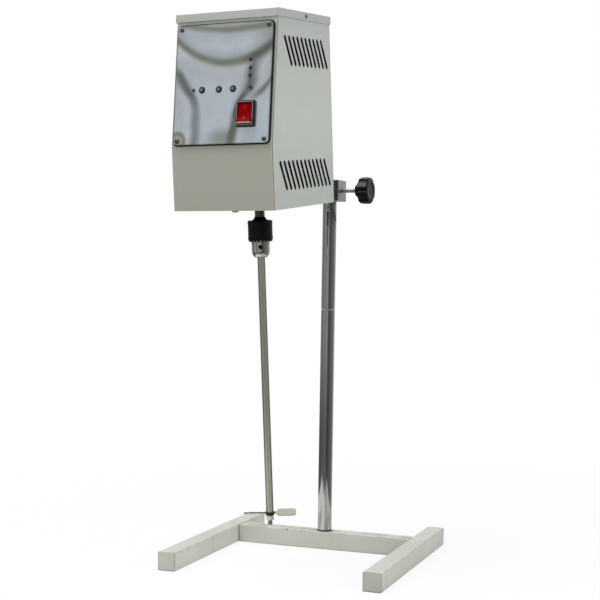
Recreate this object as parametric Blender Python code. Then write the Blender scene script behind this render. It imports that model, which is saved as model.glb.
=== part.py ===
"""Laboratory stirrer on an H-base stand, modelled piece by piece in metres, +Z up.

The origin is on the bench, under the stand rod. The front of the stirrer faces -Y.
Three empties carry the pieces that are not square to the stand:
clamp_frame turns about the rod, head_frame adds the head's forward rake about the
spindle, and panel_frame lies on the slanted front with +Z pointing out of it.
"""
import bpy
import bmesh
from math import atan2, cos, hypot, pi, radians, sin, tan
from mathutils import Matrix, Vector

# Clearances
GAP = 0.0003            # between pieces that touch
RUN = 0.0003            # around a turning or sliding piece
SCREW_GAP = 0.0003      # around a screw in its hole
CUT = 0.002             # how far a cutter runs past what it cuts

# Stand
BAR = 0.025             # square bar of the base
BAR_WALL = 0.002
BAR_EDGE = 0.0016       # rounding of the bar's edges
BASE_WIDTH = 0.308      # over both legs
LEG_FRONT = 0.227       # leg's reach in front of the rod
LEG_REAR = 0.091        # leg's reach behind the rod
CAP_THICK = 0.0015
CAP_PLUG = 0.009
CAP_PLUG_SLACK = 0.0008
ROD_R = 0.010
ROD_CHAMFER = 0.0008
ROD_JOINT_Z = 0.344     # where the two lengths of rod screw together
ROD_TOP_Z = 0.5294      # just above the clamp block
FOOT_WASHER_R = 0.0112
FOOT_WASHER_THICK = 0.0012
FOOT_STUD_R = 0.005
FOOT_STUD_LENGTH = 0.014
WELD_NUT_FLATS = 0.016
WELD_NUT_HEIGHT = 0.008
JOINT_STUD_R = 0.006
JOINT_STUD_LENGTH = 0.026
JOINT_BORE_EXTRA = 0.003

# Clamp on the rod
HEAD_TURN = radians(-4.0)
CLAMP_Z = 0.514
BLOCK_HEIGHT = 0.030
BLOCK_DEPTH = 0.030
BLOCK_RIGHT = 0.019     # from the rod's axis to the face the knob screw enters
BLOCK_EDGE = 0.0008
ARM_OFFSET = 0.020      # the arm passes beside the rod
ARM_R = 0.0065
ARM_SIDE_WALL = 0.0052
ARM_TAIL = 0.005        # arm standing out behind the block
CLAMP_SCREW_R = 0.003
CLAMP_PAD_LENGTH = 0.004
CLAMP_SCREW_IN_KNOB = 0.014
KNOB_BOSS_START = 0.041
KNOB_BOSS_LENGTH = 0.006
KNOB_BOSS_R = 0.0085
KNOB_THICK = 0.016
KNOB_R = 0.0192
KNOB_LOBE_DEPTH = 0.0034
KNOB_LOBES = 8
SET_SCREW_SOCKET_FLATS = 0.003
SET_SCREW_SOCKET_DEPTH = 0.003

# Head
HEAD_RAKE = radians(6.5)
SPINDLE_REACH = 0.1888  # from the rod's axis forward to the spindle, at the head's floor
HEAD_Z = 0.4818         # height of the head's floor at the spindle
HEAD_WIDTH = 0.140
HEAD_FRONT = 0.102      # from the spindle to the front
HEAD_REAR = 0.086
HEAD_HEIGHT = 0.245
SHEET = 0.0012
SHEET_BEND = 0.0016
FRONT_BEND_Z = 0.080    # where the front starts to slant back
FRONT_SETBACK = 0.030   # how far back the slant is at the lid's top
LID_LIP = 0.0105
REAR_FLANGE = 0.012
REAR_FOOT_FLANGE = 0.009
FLOOR_FLANGE = 0.012
FLOOR_PLATE = 0.003

LOUVRE_LENGTH = 0.0385
LOUVRE_WIDTH = 0.0050
LOUVRE_LEAN = radians(29.0)
LOUVRE_PITCH = 0.0124
UPPER_LOUVRES = 10
LOWER_LOUVRES = 12
UPPER_LOUVRE_Z = 0.1945
LOWER_LOUVRE_Z = 0.0412
LOUVRE_REAR_INSET = 0.0215

# Panel on the slanted front
PANEL_WIDTH = 0.132
PANEL_THICK = 0.0015
PANEL_CORNER = 0.005
PANEL_LIFT = 0.0020     # panel's lower edge above the bend
PANEL_DROP = 0.0055     # panel's upper edge below the lid's lip
GASKET_THICK = 0.0015
GASKET_RIM = 0.0015
PANEL_SCREW_SHARE = 0.457
PANEL_SCREW_ROW_SHARE = 0.468
WINDOW_WIDTH_SHARE = 0.69
WINDOW_HEIGHT_SHARE = 0.360
WINDOW_CENTRE_SHARE = 0.573
BUTTON_PLACE_SHARES = (-0.213, -0.034, 0.114)
BUTTON_ROW_SHARE = 0.453
LAMP_PLACE_SHARES = ((-0.302, 0.453), (0.285, 0.687), (0.285, 0.619), (0.285, 0.556))
LENS_PLACE_SHARES = (0.295, 0.457)
SWITCH_PLACE_SHARES = (0.261, 0.241)

BUTTON_RING_R = 0.0041
BUTTON_RING_PROUD = 0.0010
BUTTON_FRAME_RIM = 0.0022
BUTTON_FRAME_THICK = 0.0022
BUTTON_R = 0.0023
BUTTON_PROUD = 0.0006
BUTTON_COLLAR_R = 0.0030
BUTTON_COLLAR_THICK = 0.0010
BUTTON_TRAVEL = 0.0010
LAMP_R = 0.0015
LAMP_PROUD = 0.0008
LENS_RING_R = 0.0034
LENS_RING_PROUD = 0.0008
LENS_R = 0.0016

SWITCH_WIDTH = 0.025
SWITCH_HEIGHT = 0.032
SWITCH_PROUD = 0.0045
SWITCH_RIM = 0.0022
SWITCH_DEPTH = 0.020
SWITCH_BODY_INSET = 0.0012
SWITCH_WELL_DEPTH = 0.0085
ROCKER_TILT = radians(-8.0)
ROCKER_CROWN = 0.0032
ROCKER_PIVOT_R = 0.0012
ROCKER_SIDE_GAP = 0.0004
TERMINAL_WIDTH = 0.0048
TERMINAL_THICK = 0.0008
TERMINAL_LENGTH = 0.008
TERMINAL_SPREAD_SHARE = 0.26

BOARD_THICK = 0.0016
BOARD_DEPTH = 0.0125    # board's outer face below the housing's front face
BOARD_WIDTH_SHARE = 0.84
BOARD_HEIGHT_SHARE = 0.400
POST_R = 0.003
POST_INSET = 0.0048
TACT_SIZE = 0.006
TACT_HEIGHT = 0.0032
RELAY_SIZE = 0.016
CAPACITOR_R = 0.005
CAPACITOR_HEIGHT = 0.014
RELAY_PLACE_SHARE = 0.2
CAPACITOR_PLACE_SHARE = 0.35

# Drive inside the head
MOTOR_R = 0.038
MOTOR_WALL = 0.003
MOTOR_LENGTH = 0.090
END_PLATE_SIZE = 0.080
END_PLATE_THICK = 0.012
END_PLATE_EDGE = 0.004
BEARING_R = 0.016
BEARING_WIDTH = 0.010
SPINDLE_R = 0.006
SPINDLE_TOP_Z = 0.152
FLOOR_HOLE_R = 0.0115
ROTOR_R = 0.021
ROTOR_LENGTH = 0.048
STATOR_BORE_R = 0.022
STATOR_LENGTH = 0.052
TIE_BOLT_R = 0.002
TIE_BOLT_HEAD_R = 0.0036
TIE_BOLT_HEAD = 0.003
TIE_BOLT_INSET = 0.0065
SPEED_DISC_R = 0.027
SPEED_DISC_THICK = 0.001
SPEED_DISC_SLOTS = 12
SPEED_SLOT_DEPTH = 0.005
SPEED_DISC_HUB_R = 0.010
SPEED_DISC_HUB = 0.004
SENSOR_WIDTH = 0.012
SENSOR_DEPTH = 0.013
SENSOR_HEIGHT = 0.010
SENSOR_MOUTH = 0.0036
SENSOR_REACH = 0.0075
FAN_R = 0.031
FAN_HUB_R = 0.010
FAN_BLADES = 8
FAN_BLADE_THICK = 0.0014
FAN_HEIGHT = 0.012
TRANSFORMER_WIDTH = 0.028
TRANSFORMER_DEPTH = 0.036
TRANSFORMER_HEIGHT = 0.034
TRANSFORMER_COIL_OUT = 0.006

# Arm and its fixing on the head's rear
FLANGE_WIDTH = 0.062
FLANGE_HEIGHT = 0.034
FLANGE_THICK = 0.006
FLANGE_CORNER = 0.004
FLANGE_SCREW_R = 0.0025
FLANGE_SCREW_FLATS = 0.008
FLANGE_SCREW_HEAD = 0.0035
FLANGE_SCREW_INSET = 0.0075
BRACKET_THICK = 0.003
BRACKET_FOOT = 0.022
BRACKET_HEIGHT = 0.042

# Rear and floor fittings
COVER_SCREW_R = 0.0015
COVER_SCREW_HEAD_R = 0.003
COVER_SCREW_HEAD = 0.0018
COVER_SCREW_INSET = 0.0060
COVER_SCREW_ROW_SHARES = (0.27, 0.90)
FLOOR_SCREW_PLACE_SHARES = (0.15, 0.88)
FLOOR_SCREW_HEAD_R = 0.0042
FLOOR_SCREW_HEAD = 0.0024
LID_SCREW_Y = 0.007
GLAND_PLACE_SHARES = (-0.31, 0.40)
GLAND_R = 0.0098
GLAND_BORE_R = 0.0050
GLAND_NECK_R = 0.008
GLAND_NUT_HEIGHT = 0.005
GLAND_DOME = 0.011
GLAND_TAIL = 0.010

# Chuck, shaft and agitator, measured down from the head's floor
CHUCK_TOP = 0.0137
CHUCK_CONE = 0.0045
CHUCK_CONE_R = 0.0066
SPINDLE_IN_CHUCK = 0.017
SLEEVE_R = 0.0164
SLEEVE_LENGTH = 0.0276
SLEEVE_CHAMFER = 0.0014
SLEEVE_TEETH = 20
SLEEVE_TOOTH_HEIGHT = 0.0034
SLEEVE_TOOTH_CONE = 0.0024
CHUCK_R = 0.0120
NOSE_LENGTH = 0.0197
NOSE_CHAMFER = 0.0050
NOSE_END_R = 0.0090
KEY_HOLE_R = 0.00275
KEY_HOLE_DEPTH = 0.0034
KEY_HOLE_DROP = 0.0066
KEY_HOLE_TURN = radians(-66.0)
CHUCK_KEYS = 3
JAW_R = 0.0024
JAW_LEAN = radians(9.0)
JAW_LENGTH = 0.0155
JAW_TRAVEL = 0.003
JAW_OUT = 0.0008
SHAFT_R = 0.005
SHAFT_IN_CHUCK = 0.028
SHAFT_END = 0.4116
STUD_R = 0.003
STUD_END = 0.4292
BLADE_TURN = radians(24.0)
BLADE_TIP_R = 0.0353
BLADE_WIDTH = 0.0145
BLADE_THICK = 0.0015
BLADE_CORNER = 0.0042
BLADE_PITCH = radians(20.0)
BLADE_NECK = 0.0060
NECK_THIN_SHARE = 0.04  # neck's end, thinner than the paddle that it runs into
BLADE_ROOT_R = 0.0095
HUB_R = 0.0068
LOCK_WASHER_R = 0.0058
LOCK_WASHER_THICK = 0.0020
SHAFT_NUT_FLATS = 0.010
SHAFT_NUT_HEIGHT = 0.0062

# Facet counts, and the turn that keeps a hole's facets off those round it
FINE = 28
MEDIUM = 20
COARSE = 12
HIDDEN = 8
BORE_START = radians(3.7)

# Places that several pieces share
HALF = HEAD_WIDTH / 2
BLOCK_LEFT = ARM_OFFSET + ARM_R + RUN + ARM_SIDE_WALL
FRONT_SLANT = atan2(FRONT_SETBACK, HEAD_HEIGHT - FRONT_BEND_Z)
FLOOR_Z = SHEET + GAP
PLATE_TOP = FLOOR_Z + FLOOR_PLATE
SHELL_TOP = HEAD_HEIGHT - SHEET - GAP
SHELL_REAR = HEAD_REAR - SHEET - GAP
LOWER_PLATE_Z = PLATE_TOP + GAP
MOTOR_Z = LOWER_PLATE_Z + END_PLATE_THICK + GAP
UPPER_PLATE_Z = MOTOR_Z + MOTOR_LENGTH + GAP
DRIVE_TOP = UPPER_PLATE_Z + END_PLATE_THICK
SLEEVE_TOP = CHUCK_TOP + CHUCK_CONE + GAP
SLEEVE_BOTTOM = SLEEVE_TOP + SLEEVE_LENGTH
NOSE_BOTTOM = SLEEVE_BOTTOM + NOSE_LENGTH
SLANT_LENGTH = (HEAD_HEIGHT - LID_LIP - FRONT_BEND_Z) / cos(FRONT_SLANT)
PANEL_HEIGHT = SLANT_LENGTH - PANEL_LIFT - PANEL_DROP
PANEL_Z = GAP + GASKET_THICK + GAP
PANEL_FACE = PANEL_Z + PANEL_THICK


def clear_scene():
    for old in list(bpy.data.objects):
        bpy.data.objects.remove(old)


def paint(name, colour, roughness, metallic):
    """A plain material, shared by every piece with the same finish."""
    material = bpy.data.materials.get(name) or bpy.data.materials.new(name)
    material.use_nodes = True
    surface = material.node_tree.nodes["Principled BSDF"]
    surface.inputs["Base Color"].default_value = (*colour, 1.0)
    surface.inputs["Roughness"].default_value = roughness
    surface.inputs["Metallic"].default_value = metallic
    return material


def finishes():
    return {
        "base paint": paint("base paint", (0.66, 0.66, 0.61), 0.45, 0.0),
        "head paint": paint("head paint", (0.47, 0.50, 0.46), 0.50, 0.0),
        "chrome": paint("chrome", (0.78, 0.78, 0.78), 0.10, 1.0),
        "satin steel": paint("satin steel", (0.46, 0.45, 0.40), 0.35, 1.0),
        "polished sheet": paint("polished sheet", (0.72, 0.72, 0.75), 0.12, 1.0),
        "aluminium": paint("aluminium", (0.55, 0.56, 0.56), 0.40, 1.0),
        "brass": paint("brass", (0.70, 0.52, 0.24), 0.30, 1.0),
        "black oxide": paint("black oxide", (0.020, 0.020, 0.021), 0.40, 0.8),
        "gloss black": paint("gloss black", (0.012, 0.012, 0.013), 0.18, 0.0),
        "black rubber": paint("black rubber", (0.015, 0.015, 0.015), 0.70, 0.0),
        "rocker red": paint("rocker red", (0.42, 0.010, 0.012), 0.25, 0.0),
        "button grey": paint("button grey", (0.45, 0.46, 0.46), 0.40, 0.0),
        "board green": paint("board green", (0.020, 0.13, 0.055), 0.45, 0.0),
        "lamination": paint("lamination", (0.16, 0.16, 0.17), 0.55, 0.8),
        "fan plastic": paint("fan plastic", (0.05, 0.05, 0.055), 0.50, 0.0),
    }


def frame(name, parent, place, turn):
    """An empty that carries pieces; it isn't a piece itself."""
    empty = bpy.data.objects.new(name, None)
    bpy.context.collection.objects.link(empty)
    empty.parent = parent
    empty.location = place
    empty.rotation_euler = turn
    return empty


def piece(name, shape, material, parent=None, place=(0, 0, 0), turn=(0, 0, 0)):
    """One named object from a bmesh, with round faces shaded smooth."""
    bmesh.ops.recalc_face_normals(shape, faces=shape.faces)
    mesh = bpy.data.meshes.new(name)
    shape.to_mesh(mesh)
    shape.free()
    mesh.shade_smooth()
    mesh.set_sharp_from_angle(angle=radians(35.0))
    made = bpy.data.objects.new(name, mesh)
    bpy.context.collection.objects.link(made)
    made.parent = parent
    made.location = place
    made.rotation_euler = turn
    if material:
        mesh.materials.append(material)
    return made


def tool(name, shape, parent=None, place=(0, 0, 0), turn=(0, 0, 0)):
    """A cutter or joining shape, which is not a piece of the stirrer."""
    made = piece(name, shape, None, parent, place, turn)
    made.hide_render = True
    made.display_type = "WIRE"
    return made


def combine(target, other, how):
    step = target.modifiers.new(other.name, "BOOLEAN")
    step.operation = how
    step.solver = "EXACT"
    step.object = other
    return target


def cut(target, *tools):
    for each in tools:
        combine(target, each, "DIFFERENCE")
    return target


def join(target, *tools):
    for each in tools:
        combine(target, each, "UNION")
    return target


def round_edges(target, width, steps=2, angle=radians(50.0)):
    edge = target.modifiers.new("rounded edges", "BEVEL")
    edge.width = width
    edge.segments = steps
    edge.limit_method = "ANGLE"
    edge.angle_limit = angle
    return target


def box(low, high):
    low = Vector(low)
    high = Vector(high)
    shape = bmesh.new()
    place = Matrix.Translation((low + high) / 2) @ Matrix.Diagonal((*(high - low), 1))
    bmesh.ops.create_cube(shape, size=1, matrix=place)
    return shape


def revolve(profile, steps=MEDIUM, start=0):
    """A turned piece about Z; a profile that starts and ends on the axis is solid."""
    solid = profile[0][0] == 0 and profile[-1][0] == 0
    rows = [(radius, height) for radius, height in profile if radius > 0]
    loops = [[(x, y, height) for x, y in circle(radius, steps, start)] for radius, height in rows]
    return loft(loops, not solid)


def rod(radius, low, high, steps=MEDIUM, chamfer=0):
    """A round bar along Z, chamfered at both ends if asked."""
    if chamfer:
        profile = [(0, low), (radius - chamfer, low), (radius, low + chamfer),
                   (radius, high - chamfer), (radius - chamfer, high), (0, high)]
    else:
        profile = [(0, low), (radius, low), (radius, high), (0, high)]
    return revolve(profile, steps)


def bore(radius, low, high, steps=COARSE):
    """A cutter for a round hole, its facets turned away from those of turned pieces."""
    return revolve([(0, low), (radius, low), (radius, high), (0, high)], steps, BORE_START)


def ring(inner, outer, low, high, steps=MEDIUM):
    return revolve([(inner, low), (outer, low), (outer, high), (inner, high)], steps)


def prism(outline, low, high):
    """An outline in X and Y, extruded from one height to the other."""
    shape = bmesh.new()
    face = shape.faces.new([shape.verts.new((x, y, low)) for x, y in outline])
    grown = bmesh.ops.extrude_face_region(shape, geom=[face])
    tops = [item for item in grown["geom"] if isinstance(item, bmesh.types.BMVert)]
    bmesh.ops.translate(shape, verts=tops, vec=(0, 0, high - low))
    return shape


def loft(loops, endless=False):
    """Equal loops of points bridged in turn, capped at both ends or joined end to end."""
    shape = bmesh.new()
    rows = [[shape.verts.new(point) for point in loop] for loop in loops]
    count = len(rows[0])
    following = rows[1:] + rows[:1] if endless else rows[1:]
    for lower, upper in zip(rows, following):
        for i in range(count):
            j = (i + 1) % count
            shape.faces.new((lower[i], lower[j], upper[j], upper[i]))
    if not endless:
        shape.faces.new(rows[0])
        shape.faces.new(rows[-1])
    return shape


def gather(shapes):
    """Separate solids kept together in one mesh."""
    whole = bmesh.new()
    for shape in shapes:
        bmesh.ops.recalc_face_normals(shape, faces=shape.faces)
        held = bpy.data.meshes.new("held")
        shape.to_mesh(held)
        shape.free()
        whole.from_mesh(held)
        bpy.data.meshes.remove(held)
    return whole


def moved(shape, place=(0, 0, 0), turn=None):
    """The shape after a turn about the origin and then a move."""
    matrix = Matrix.Translation(place)
    if turn:
        matrix = matrix @ turn
    bmesh.ops.transform(shape, matrix=matrix, verts=shape.verts)
    return shape


def about(axis, angle):
    return Matrix.Rotation(angle, 4, axis)


def circle(radius, count, start=0):
    steps = [start + 2 * pi * i / count for i in range(count)]
    return [(radius * cos(a), radius * sin(a)) for a in steps]


def hexagon(flats):
    return circle(flats / 2 / cos(pi / 6), 6)


def rounded(width, height, corner, steps=4):
    """A rectangle with round corners, centred on the origin."""
    outline = []
    for quarter, (sx, sy) in enumerate(((1, 1), (-1, 1), (-1, -1), (1, -1))):
        cx = sx * (width / 2 - corner)
        cy = sy * (height / 2 - corner)
        for i in range(steps + 1):
            angle = pi / 2 * (quarter + i / steps)
            outline.append((cx + corner * cos(angle), cy + corner * sin(angle)))
    return outline


def four(across, along):
    return [(sx * across, sy * along) for sx in (-1, 1) for sy in (-1, 1)]


def pan_screw(head_r, head, shank_r, length, steps=COARSE):
    """A pan-head screw: the head sits on z = 0 and the shank runs down."""
    crown = head * 0.45
    return revolve([(0, -length), (shank_r, -length), (shank_r, 0), (head_r, 0),
                    (head_r, crown), (head_r * 0.72, head), (0, head)], steps)


def hex_bolt(flats, head, shank_r, length):
    """A hexagon head on z = 0 and a round shank below it, as one loft."""
    shank = circle(shank_r, 12)
    corners = hexagon(flats)
    around = []
    for i, corner in enumerate(corners):
        after = corners[(i + 1) % 6]
        around += [corner, ((corner[0] + after[0]) / 2, (corner[1] + after[1]) / 2)]
    loops = [(shank, -length), (shank, 0), (around, 0), (around, head)]
    return loft([[(x, y, z) for x, y in outline] for outline, z in loops])


def build_base(paints):
    """Two square legs and a crossbar, butt-jointed, with plugs in the legs' ends."""
    leg_x = (BASE_WIDTH - BAR) / 2
    inner = BAR / 2 - BAR_WALL
    tube_front = -LEG_FRONT + CAP_THICK + GAP
    tube_rear = LEG_REAR - CAP_THICK - GAP
    for side, name in ((-1, "left"), (1, "right")):
        x = side * leg_x
        leg = piece(name + "_leg", box((x - BAR / 2, tube_front, 0), (x + BAR / 2, tube_rear, BAR)),
                    paints["base paint"])
        round_edges(leg, BAR_EDGE)
        hollow = box((x - inner, tube_front - CUT, BAR_WALL),
                     (x + inner, tube_rear + CUT, BAR - BAR_WALL))
        cut(leg, tool(name + " leg hollow", hollow))
        piece(name + "_front_plug", end_plug(x, tube_front - GAP, -1), paints["base paint"])
        piece(name + "_rear_plug", end_plug(x, tube_rear + GAP, 1), paints["base paint"])

    bar_x = BASE_WIDTH / 2 - BAR - GAP
    crossbar = piece("crossbar", box((-bar_x, -BAR / 2, 0), (bar_x, BAR / 2, BAR)),
                     paints["base paint"])
    round_edges(crossbar, BAR_EDGE)
    hollow = box((-bar_x - CUT, -inner, BAR_WALL), (bar_x + CUT, inner, BAR - BAR_WALL))
    stud_hole = bore(FOOT_STUD_R + SCREW_GAP, BAR - BAR_WALL - CUT, BAR + CUT)
    cut(crossbar, tool("crossbar hollow", hollow), tool("stud hole", stud_hole))

    nut_top = BAR - BAR_WALL - GAP
    nut = piece("rod_weld_nut", prism(hexagon(WELD_NUT_FLATS), nut_top - WELD_NUT_HEIGHT, nut_top),
                paints["satin steel"])
    hole = bore(FOOT_STUD_R + SCREW_GAP, nut_top - WELD_NUT_HEIGHT - CUT, nut_top + CUT)
    cut(nut, tool("weld nut bore", hole))


def end_plug(x, end, outward):
    """A plug with a flange flush with the bar and a body inside it."""
    body = BAR - 2 * BAR_WALL - 2 * CAP_PLUG_SLACK
    steps = [(BAR - 2 * BAR_EDGE, CAP_THICK), (BAR, CAP_THICK / 3), (BAR, 0),
             (body, 0), (body, -CAP_PLUG)]
    loops = []
    for width, out in steps:
        corner = BAR_EDGE if width > body else BAR_EDGE / 2
        loops.append([(x + a, end + outward * out, BAR / 2 + b)
                      for a, b in rounded(width, width, corner, 2)])
    return loft(loops)


def build_rods(paints):
    """The stand rod in two lengths, and the washer under its foot."""
    foot = BAR + GAP + FOOT_WASHER_THICK + GAP
    washer = ring(FOOT_STUD_R + SCREW_GAP, FOOT_WASHER_R, BAR + GAP, BAR + GAP + FOOT_WASHER_THICK)
    piece("rod_foot_washer", washer, paints["satin steel"])
    c = ROD_CHAMFER
    bore_r = JOINT_STUD_R + SCREW_GAP
    bore_end = ROD_JOINT_Z - JOINT_STUD_LENGTH - JOINT_BORE_EXTRA
    profile = [(0, foot - FOOT_STUD_LENGTH), (FOOT_STUD_R, foot - FOOT_STUD_LENGTH),
               (FOOT_STUD_R, foot), (ROD_R - c, foot), (ROD_R, foot + c),
               (ROD_R, ROD_JOINT_Z - c), (ROD_R - c, ROD_JOINT_Z),
               (bore_r, ROD_JOINT_Z), (bore_r, bore_end), (0, bore_end)]
    piece("lower_rod", revolve(profile, FINE), paints["chrome"])

    low = ROD_JOINT_Z + GAP
    profile = [(0, low - JOINT_STUD_LENGTH), (JOINT_STUD_R, low - JOINT_STUD_LENGTH),
               (JOINT_STUD_R, low), (ROD_R - c, low), (ROD_R, low + c),
               (ROD_R, ROD_TOP_Z - c), (ROD_R - c, ROD_TOP_Z), (0, ROD_TOP_Z)]
    piece("upper_rod", revolve(profile, FINE), paints["chrome"])


def build_clamp(paints, clamp):
    """The block that grips the rod, with the arm beside it and the knob's screw."""
    half_y = BLOCK_DEPTH / 2
    half_z = BLOCK_HEIGHT / 2
    block = piece("clamp_block", box((-BLOCK_LEFT, -half_y, -half_z), (BLOCK_RIGHT, half_y, half_z)),
                  paints["aluminium"], clamp)
    round_edges(block, BLOCK_EDGE, 1)
    rod_bore = bore(ROD_R + RUN, -half_z - CUT, half_z + CUT, FINE)
    arm_bore = moved(bore(ARM_R + RUN, -half_y - CUT, half_y + CUT, MEDIUM), (-ARM_OFFSET, 0, 0),
                     about("X", pi / 2))
    screw_bore = moved(bore(CLAMP_SCREW_R + SCREW_GAP, 0, BLOCK_RIGHT + CUT),
                       turn=about("Y", pi / 2))
    set_bore = moved(bore(CLAMP_SCREW_R + SCREW_GAP, 0, half_z + CUT), (-ARM_OFFSET, 0, 0))
    cut(block, tool("rod bore", rod_bore, clamp), tool("arm bore", arm_bore, clamp),
        tool("knob screw bore", screw_bore, clamp), tool("set screw bore", set_bore, clamp))

    grub_low = ARM_R + RUN + GAP
    grub = piece("arm_set_screw", rod(CLAMP_SCREW_R, grub_low, half_z, COARSE),
                 paints["black oxide"], clamp, (-ARM_OFFSET, 0, 0))
    socket = prism(hexagon(SET_SCREW_SOCKET_FLATS), half_z - SET_SCREW_SOCKET_DEPTH, half_z + CUT)
    cut(grub, tool("set screw socket", socket, clamp, (-ARM_OFFSET, 0, 0)))

    knob = frame("knob_frame", clamp, (0, 0, 0), (0, pi / 2, 0))
    pad_low = ROD_R + RUN + GAP
    screw_low = pad_low + CLAMP_PAD_LENGTH + GAP
    piece("clamp_pad", rod(CLAMP_SCREW_R, pad_low, pad_low + CLAMP_PAD_LENGTH, COARSE),
          paints["brass"], knob)
    screw_high = KNOB_BOSS_START + CLAMP_SCREW_IN_KNOB
    piece("clamp_screw", rod(CLAMP_SCREW_R, screw_low, screw_high, COARSE),
          paints["satin steel"], knob)
    star = piece("clamp_knob", star_knob(), paints["gloss black"], knob)
    hole = bore(CLAMP_SCREW_R + SCREW_GAP, KNOB_BOSS_START - CUT, screw_high + GAP)
    cut(star, tool("knob screw hole", hole, knob))


def star_knob():
    """A lobed grip on a tapered boss, lofted through scaled star outlines."""
    start = KNOB_BOSS_START
    body = start + KNOB_BOSS_LENGTH
    end = body + KNOB_THICK
    shares = ((KNOB_BOSS_R, 0.0, start), (KNOB_BOSS_R * 1.15, 0.1, body - GAP),
              (KNOB_R * 0.86, 0.8, body), (KNOB_R * 0.97, 1.0, body + KNOB_THICK * 0.12),
              (KNOB_R, 1.0, body + KNOB_THICK * 0.30), (KNOB_R * 0.985, 1.0, end - KNOB_THICK * 0.22),
              (KNOB_R * 0.86, 0.9, end - KNOB_THICK * 0.03), (KNOB_R * 0.80, 0.8, end))
    count = KNOB_LOBES * 5
    loops = []
    for radius, lobed, z in shares:
        loop = []
        for i in range(count):
            angle = 2 * pi * i / count
            dip = KNOB_LOBE_DEPTH * lobed * (0.5 - 0.5 * cos(KNOB_LOBES * angle)) ** 1.6
            loop.append(((radius - dip) * cos(angle), (radius - dip) * sin(angle), z))
        loops.append(loop)
    return loft(loops)


def arm_height_on_head():
    """Where the level arm meets the raked rear face, in the head's own height."""
    drop = (CLAMP_Z - HEAD_Z) - HEAD_REAR * sin(HEAD_RAKE)
    return drop / cos(HEAD_RAKE)


def flange_screw_places():
    middle = arm_height_on_head()
    across = FLANGE_WIDTH / 2 - FLANGE_SCREW_INSET
    along = FLANGE_HEIGHT / 2 - FLANGE_SCREW_INSET
    return [(x, middle + z) for x, z in four(across, along)]


def rear_holes(name, head, radius):
    """Cutters for the flange screws, through everything at the head's rear."""
    deep = FLANGE_THICK + SHEET + BRACKET_THICK + SHEET + CUT
    holes = []
    for x, z in flange_screw_places():
        hole = bore(radius, -deep, deep)
        holes.append(moved(hole, (x, HEAD_REAR, z), about("X", pi / 2)))
    return tool(name, gather(holes), head)


def build_arm(paints, clamp, head):
    """A round arm through the clamp block, welded to a flange on the head's rear."""
    middle = arm_height_on_head()
    near = HEAD_REAR + GAP
    outline = rounded(FLANGE_WIDTH, FLANGE_HEIGHT, FLANGE_CORNER)
    plate = moved(prism(outline, -near - FLANGE_THICK, -near), (0, 0, middle), about("X", pi / 2))
    arm = piece("support_arm", plate, paints["satin steel"], head)
    front = -SPINDLE_REACH + HEAD_REAR / cos(HEAD_RAKE) + FLANGE_THICK / 2
    front -= middle * sin(HEAD_RAKE) + HEAD_REAR * (1 / cos(HEAD_RAKE) - cos(HEAD_RAKE))
    bar = moved(rod(ARM_R, -BLOCK_DEPTH / 2 - ARM_TAIL, -front, MEDIUM, ROD_CHAMFER),
                (-ARM_OFFSET, 0, 0), about("X", pi / 2))
    join(arm, tool("arm bar", bar, clamp))
    cut(arm, rear_holes("flange screw holes", head, FLANGE_SCREW_R + SCREW_GAP))


def flange_bolts(name, head):
    """Four hexagon bolts through the flange, the cover and the bracket."""
    seat = HEAD_REAR + GAP + FLANGE_THICK + GAP
    length = seat - SHELL_REAR + SHEET + GAP + BRACKET_THICK + CUT
    bolts = []
    for x, z in flange_screw_places():
        bolt = hex_bolt(FLANGE_SCREW_FLATS, FLANGE_SCREW_HEAD, FLANGE_SCREW_R, length)
        bolts.append(moved(bolt, (x, seat, z), about("X", -pi / 2)))
    return tool(name, gather(bolts), head)


def side_profile(inset, top, rear):
    """The head's side outline, moved in by an even inset, as points in Y and Z."""
    front = -HEAD_FRONT + inset
    lean = tan(FRONT_SLANT)
    bend = FRONT_BEND_Z + inset * tan(FRONT_SLANT / 2)
    return [(front, 0), (front, bend), (front + (top - bend) * lean, top), (rear, top), (rear, 0)]


def front_prism(profile, half, low=None):
    """A side outline run across the head's width."""
    points = [(y, z if low is None or z > 0 else low) for y, z in profile]
    return loft([[(x, y, z) for y, z in points] for x in (-half, half)])


def louvre_slots():
    """Two rows of leaning slots, cut through both sides in one stroke."""
    slots = []
    rows = ((UPPER_LOUVRES, UPPER_LOUVRE_Z), (LOWER_LOUVRES, LOWER_LOUVRE_Z))
    outline = rounded(LOUVRE_WIDTH, LOUVRE_LENGTH, LOUVRE_WIDTH * 0.4, 1)
    for count, height in rows:
        last = HEAD_REAR - LOUVRE_REAR_INSET
        for i in range(count):
            slot = prism(outline, -HALF - CUT, HALF + CUT)
            stand = about("Z", pi / 2) @ about("X", pi / 2)
            turn = about("X", LOUVRE_LEAN) @ stand
            slots.append(moved(slot, (0, last - i * LOUVRE_PITCH, height), turn))
    return gather(slots)


def side_wall_guard():
    """The middle of the head, kept clear of the slot cutter."""
    edge = HALF - SHEET - CUT
    return box((-edge, -HEAD_FRONT, 0), (edge, HEAD_REAR, HEAD_HEIGHT))


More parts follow.
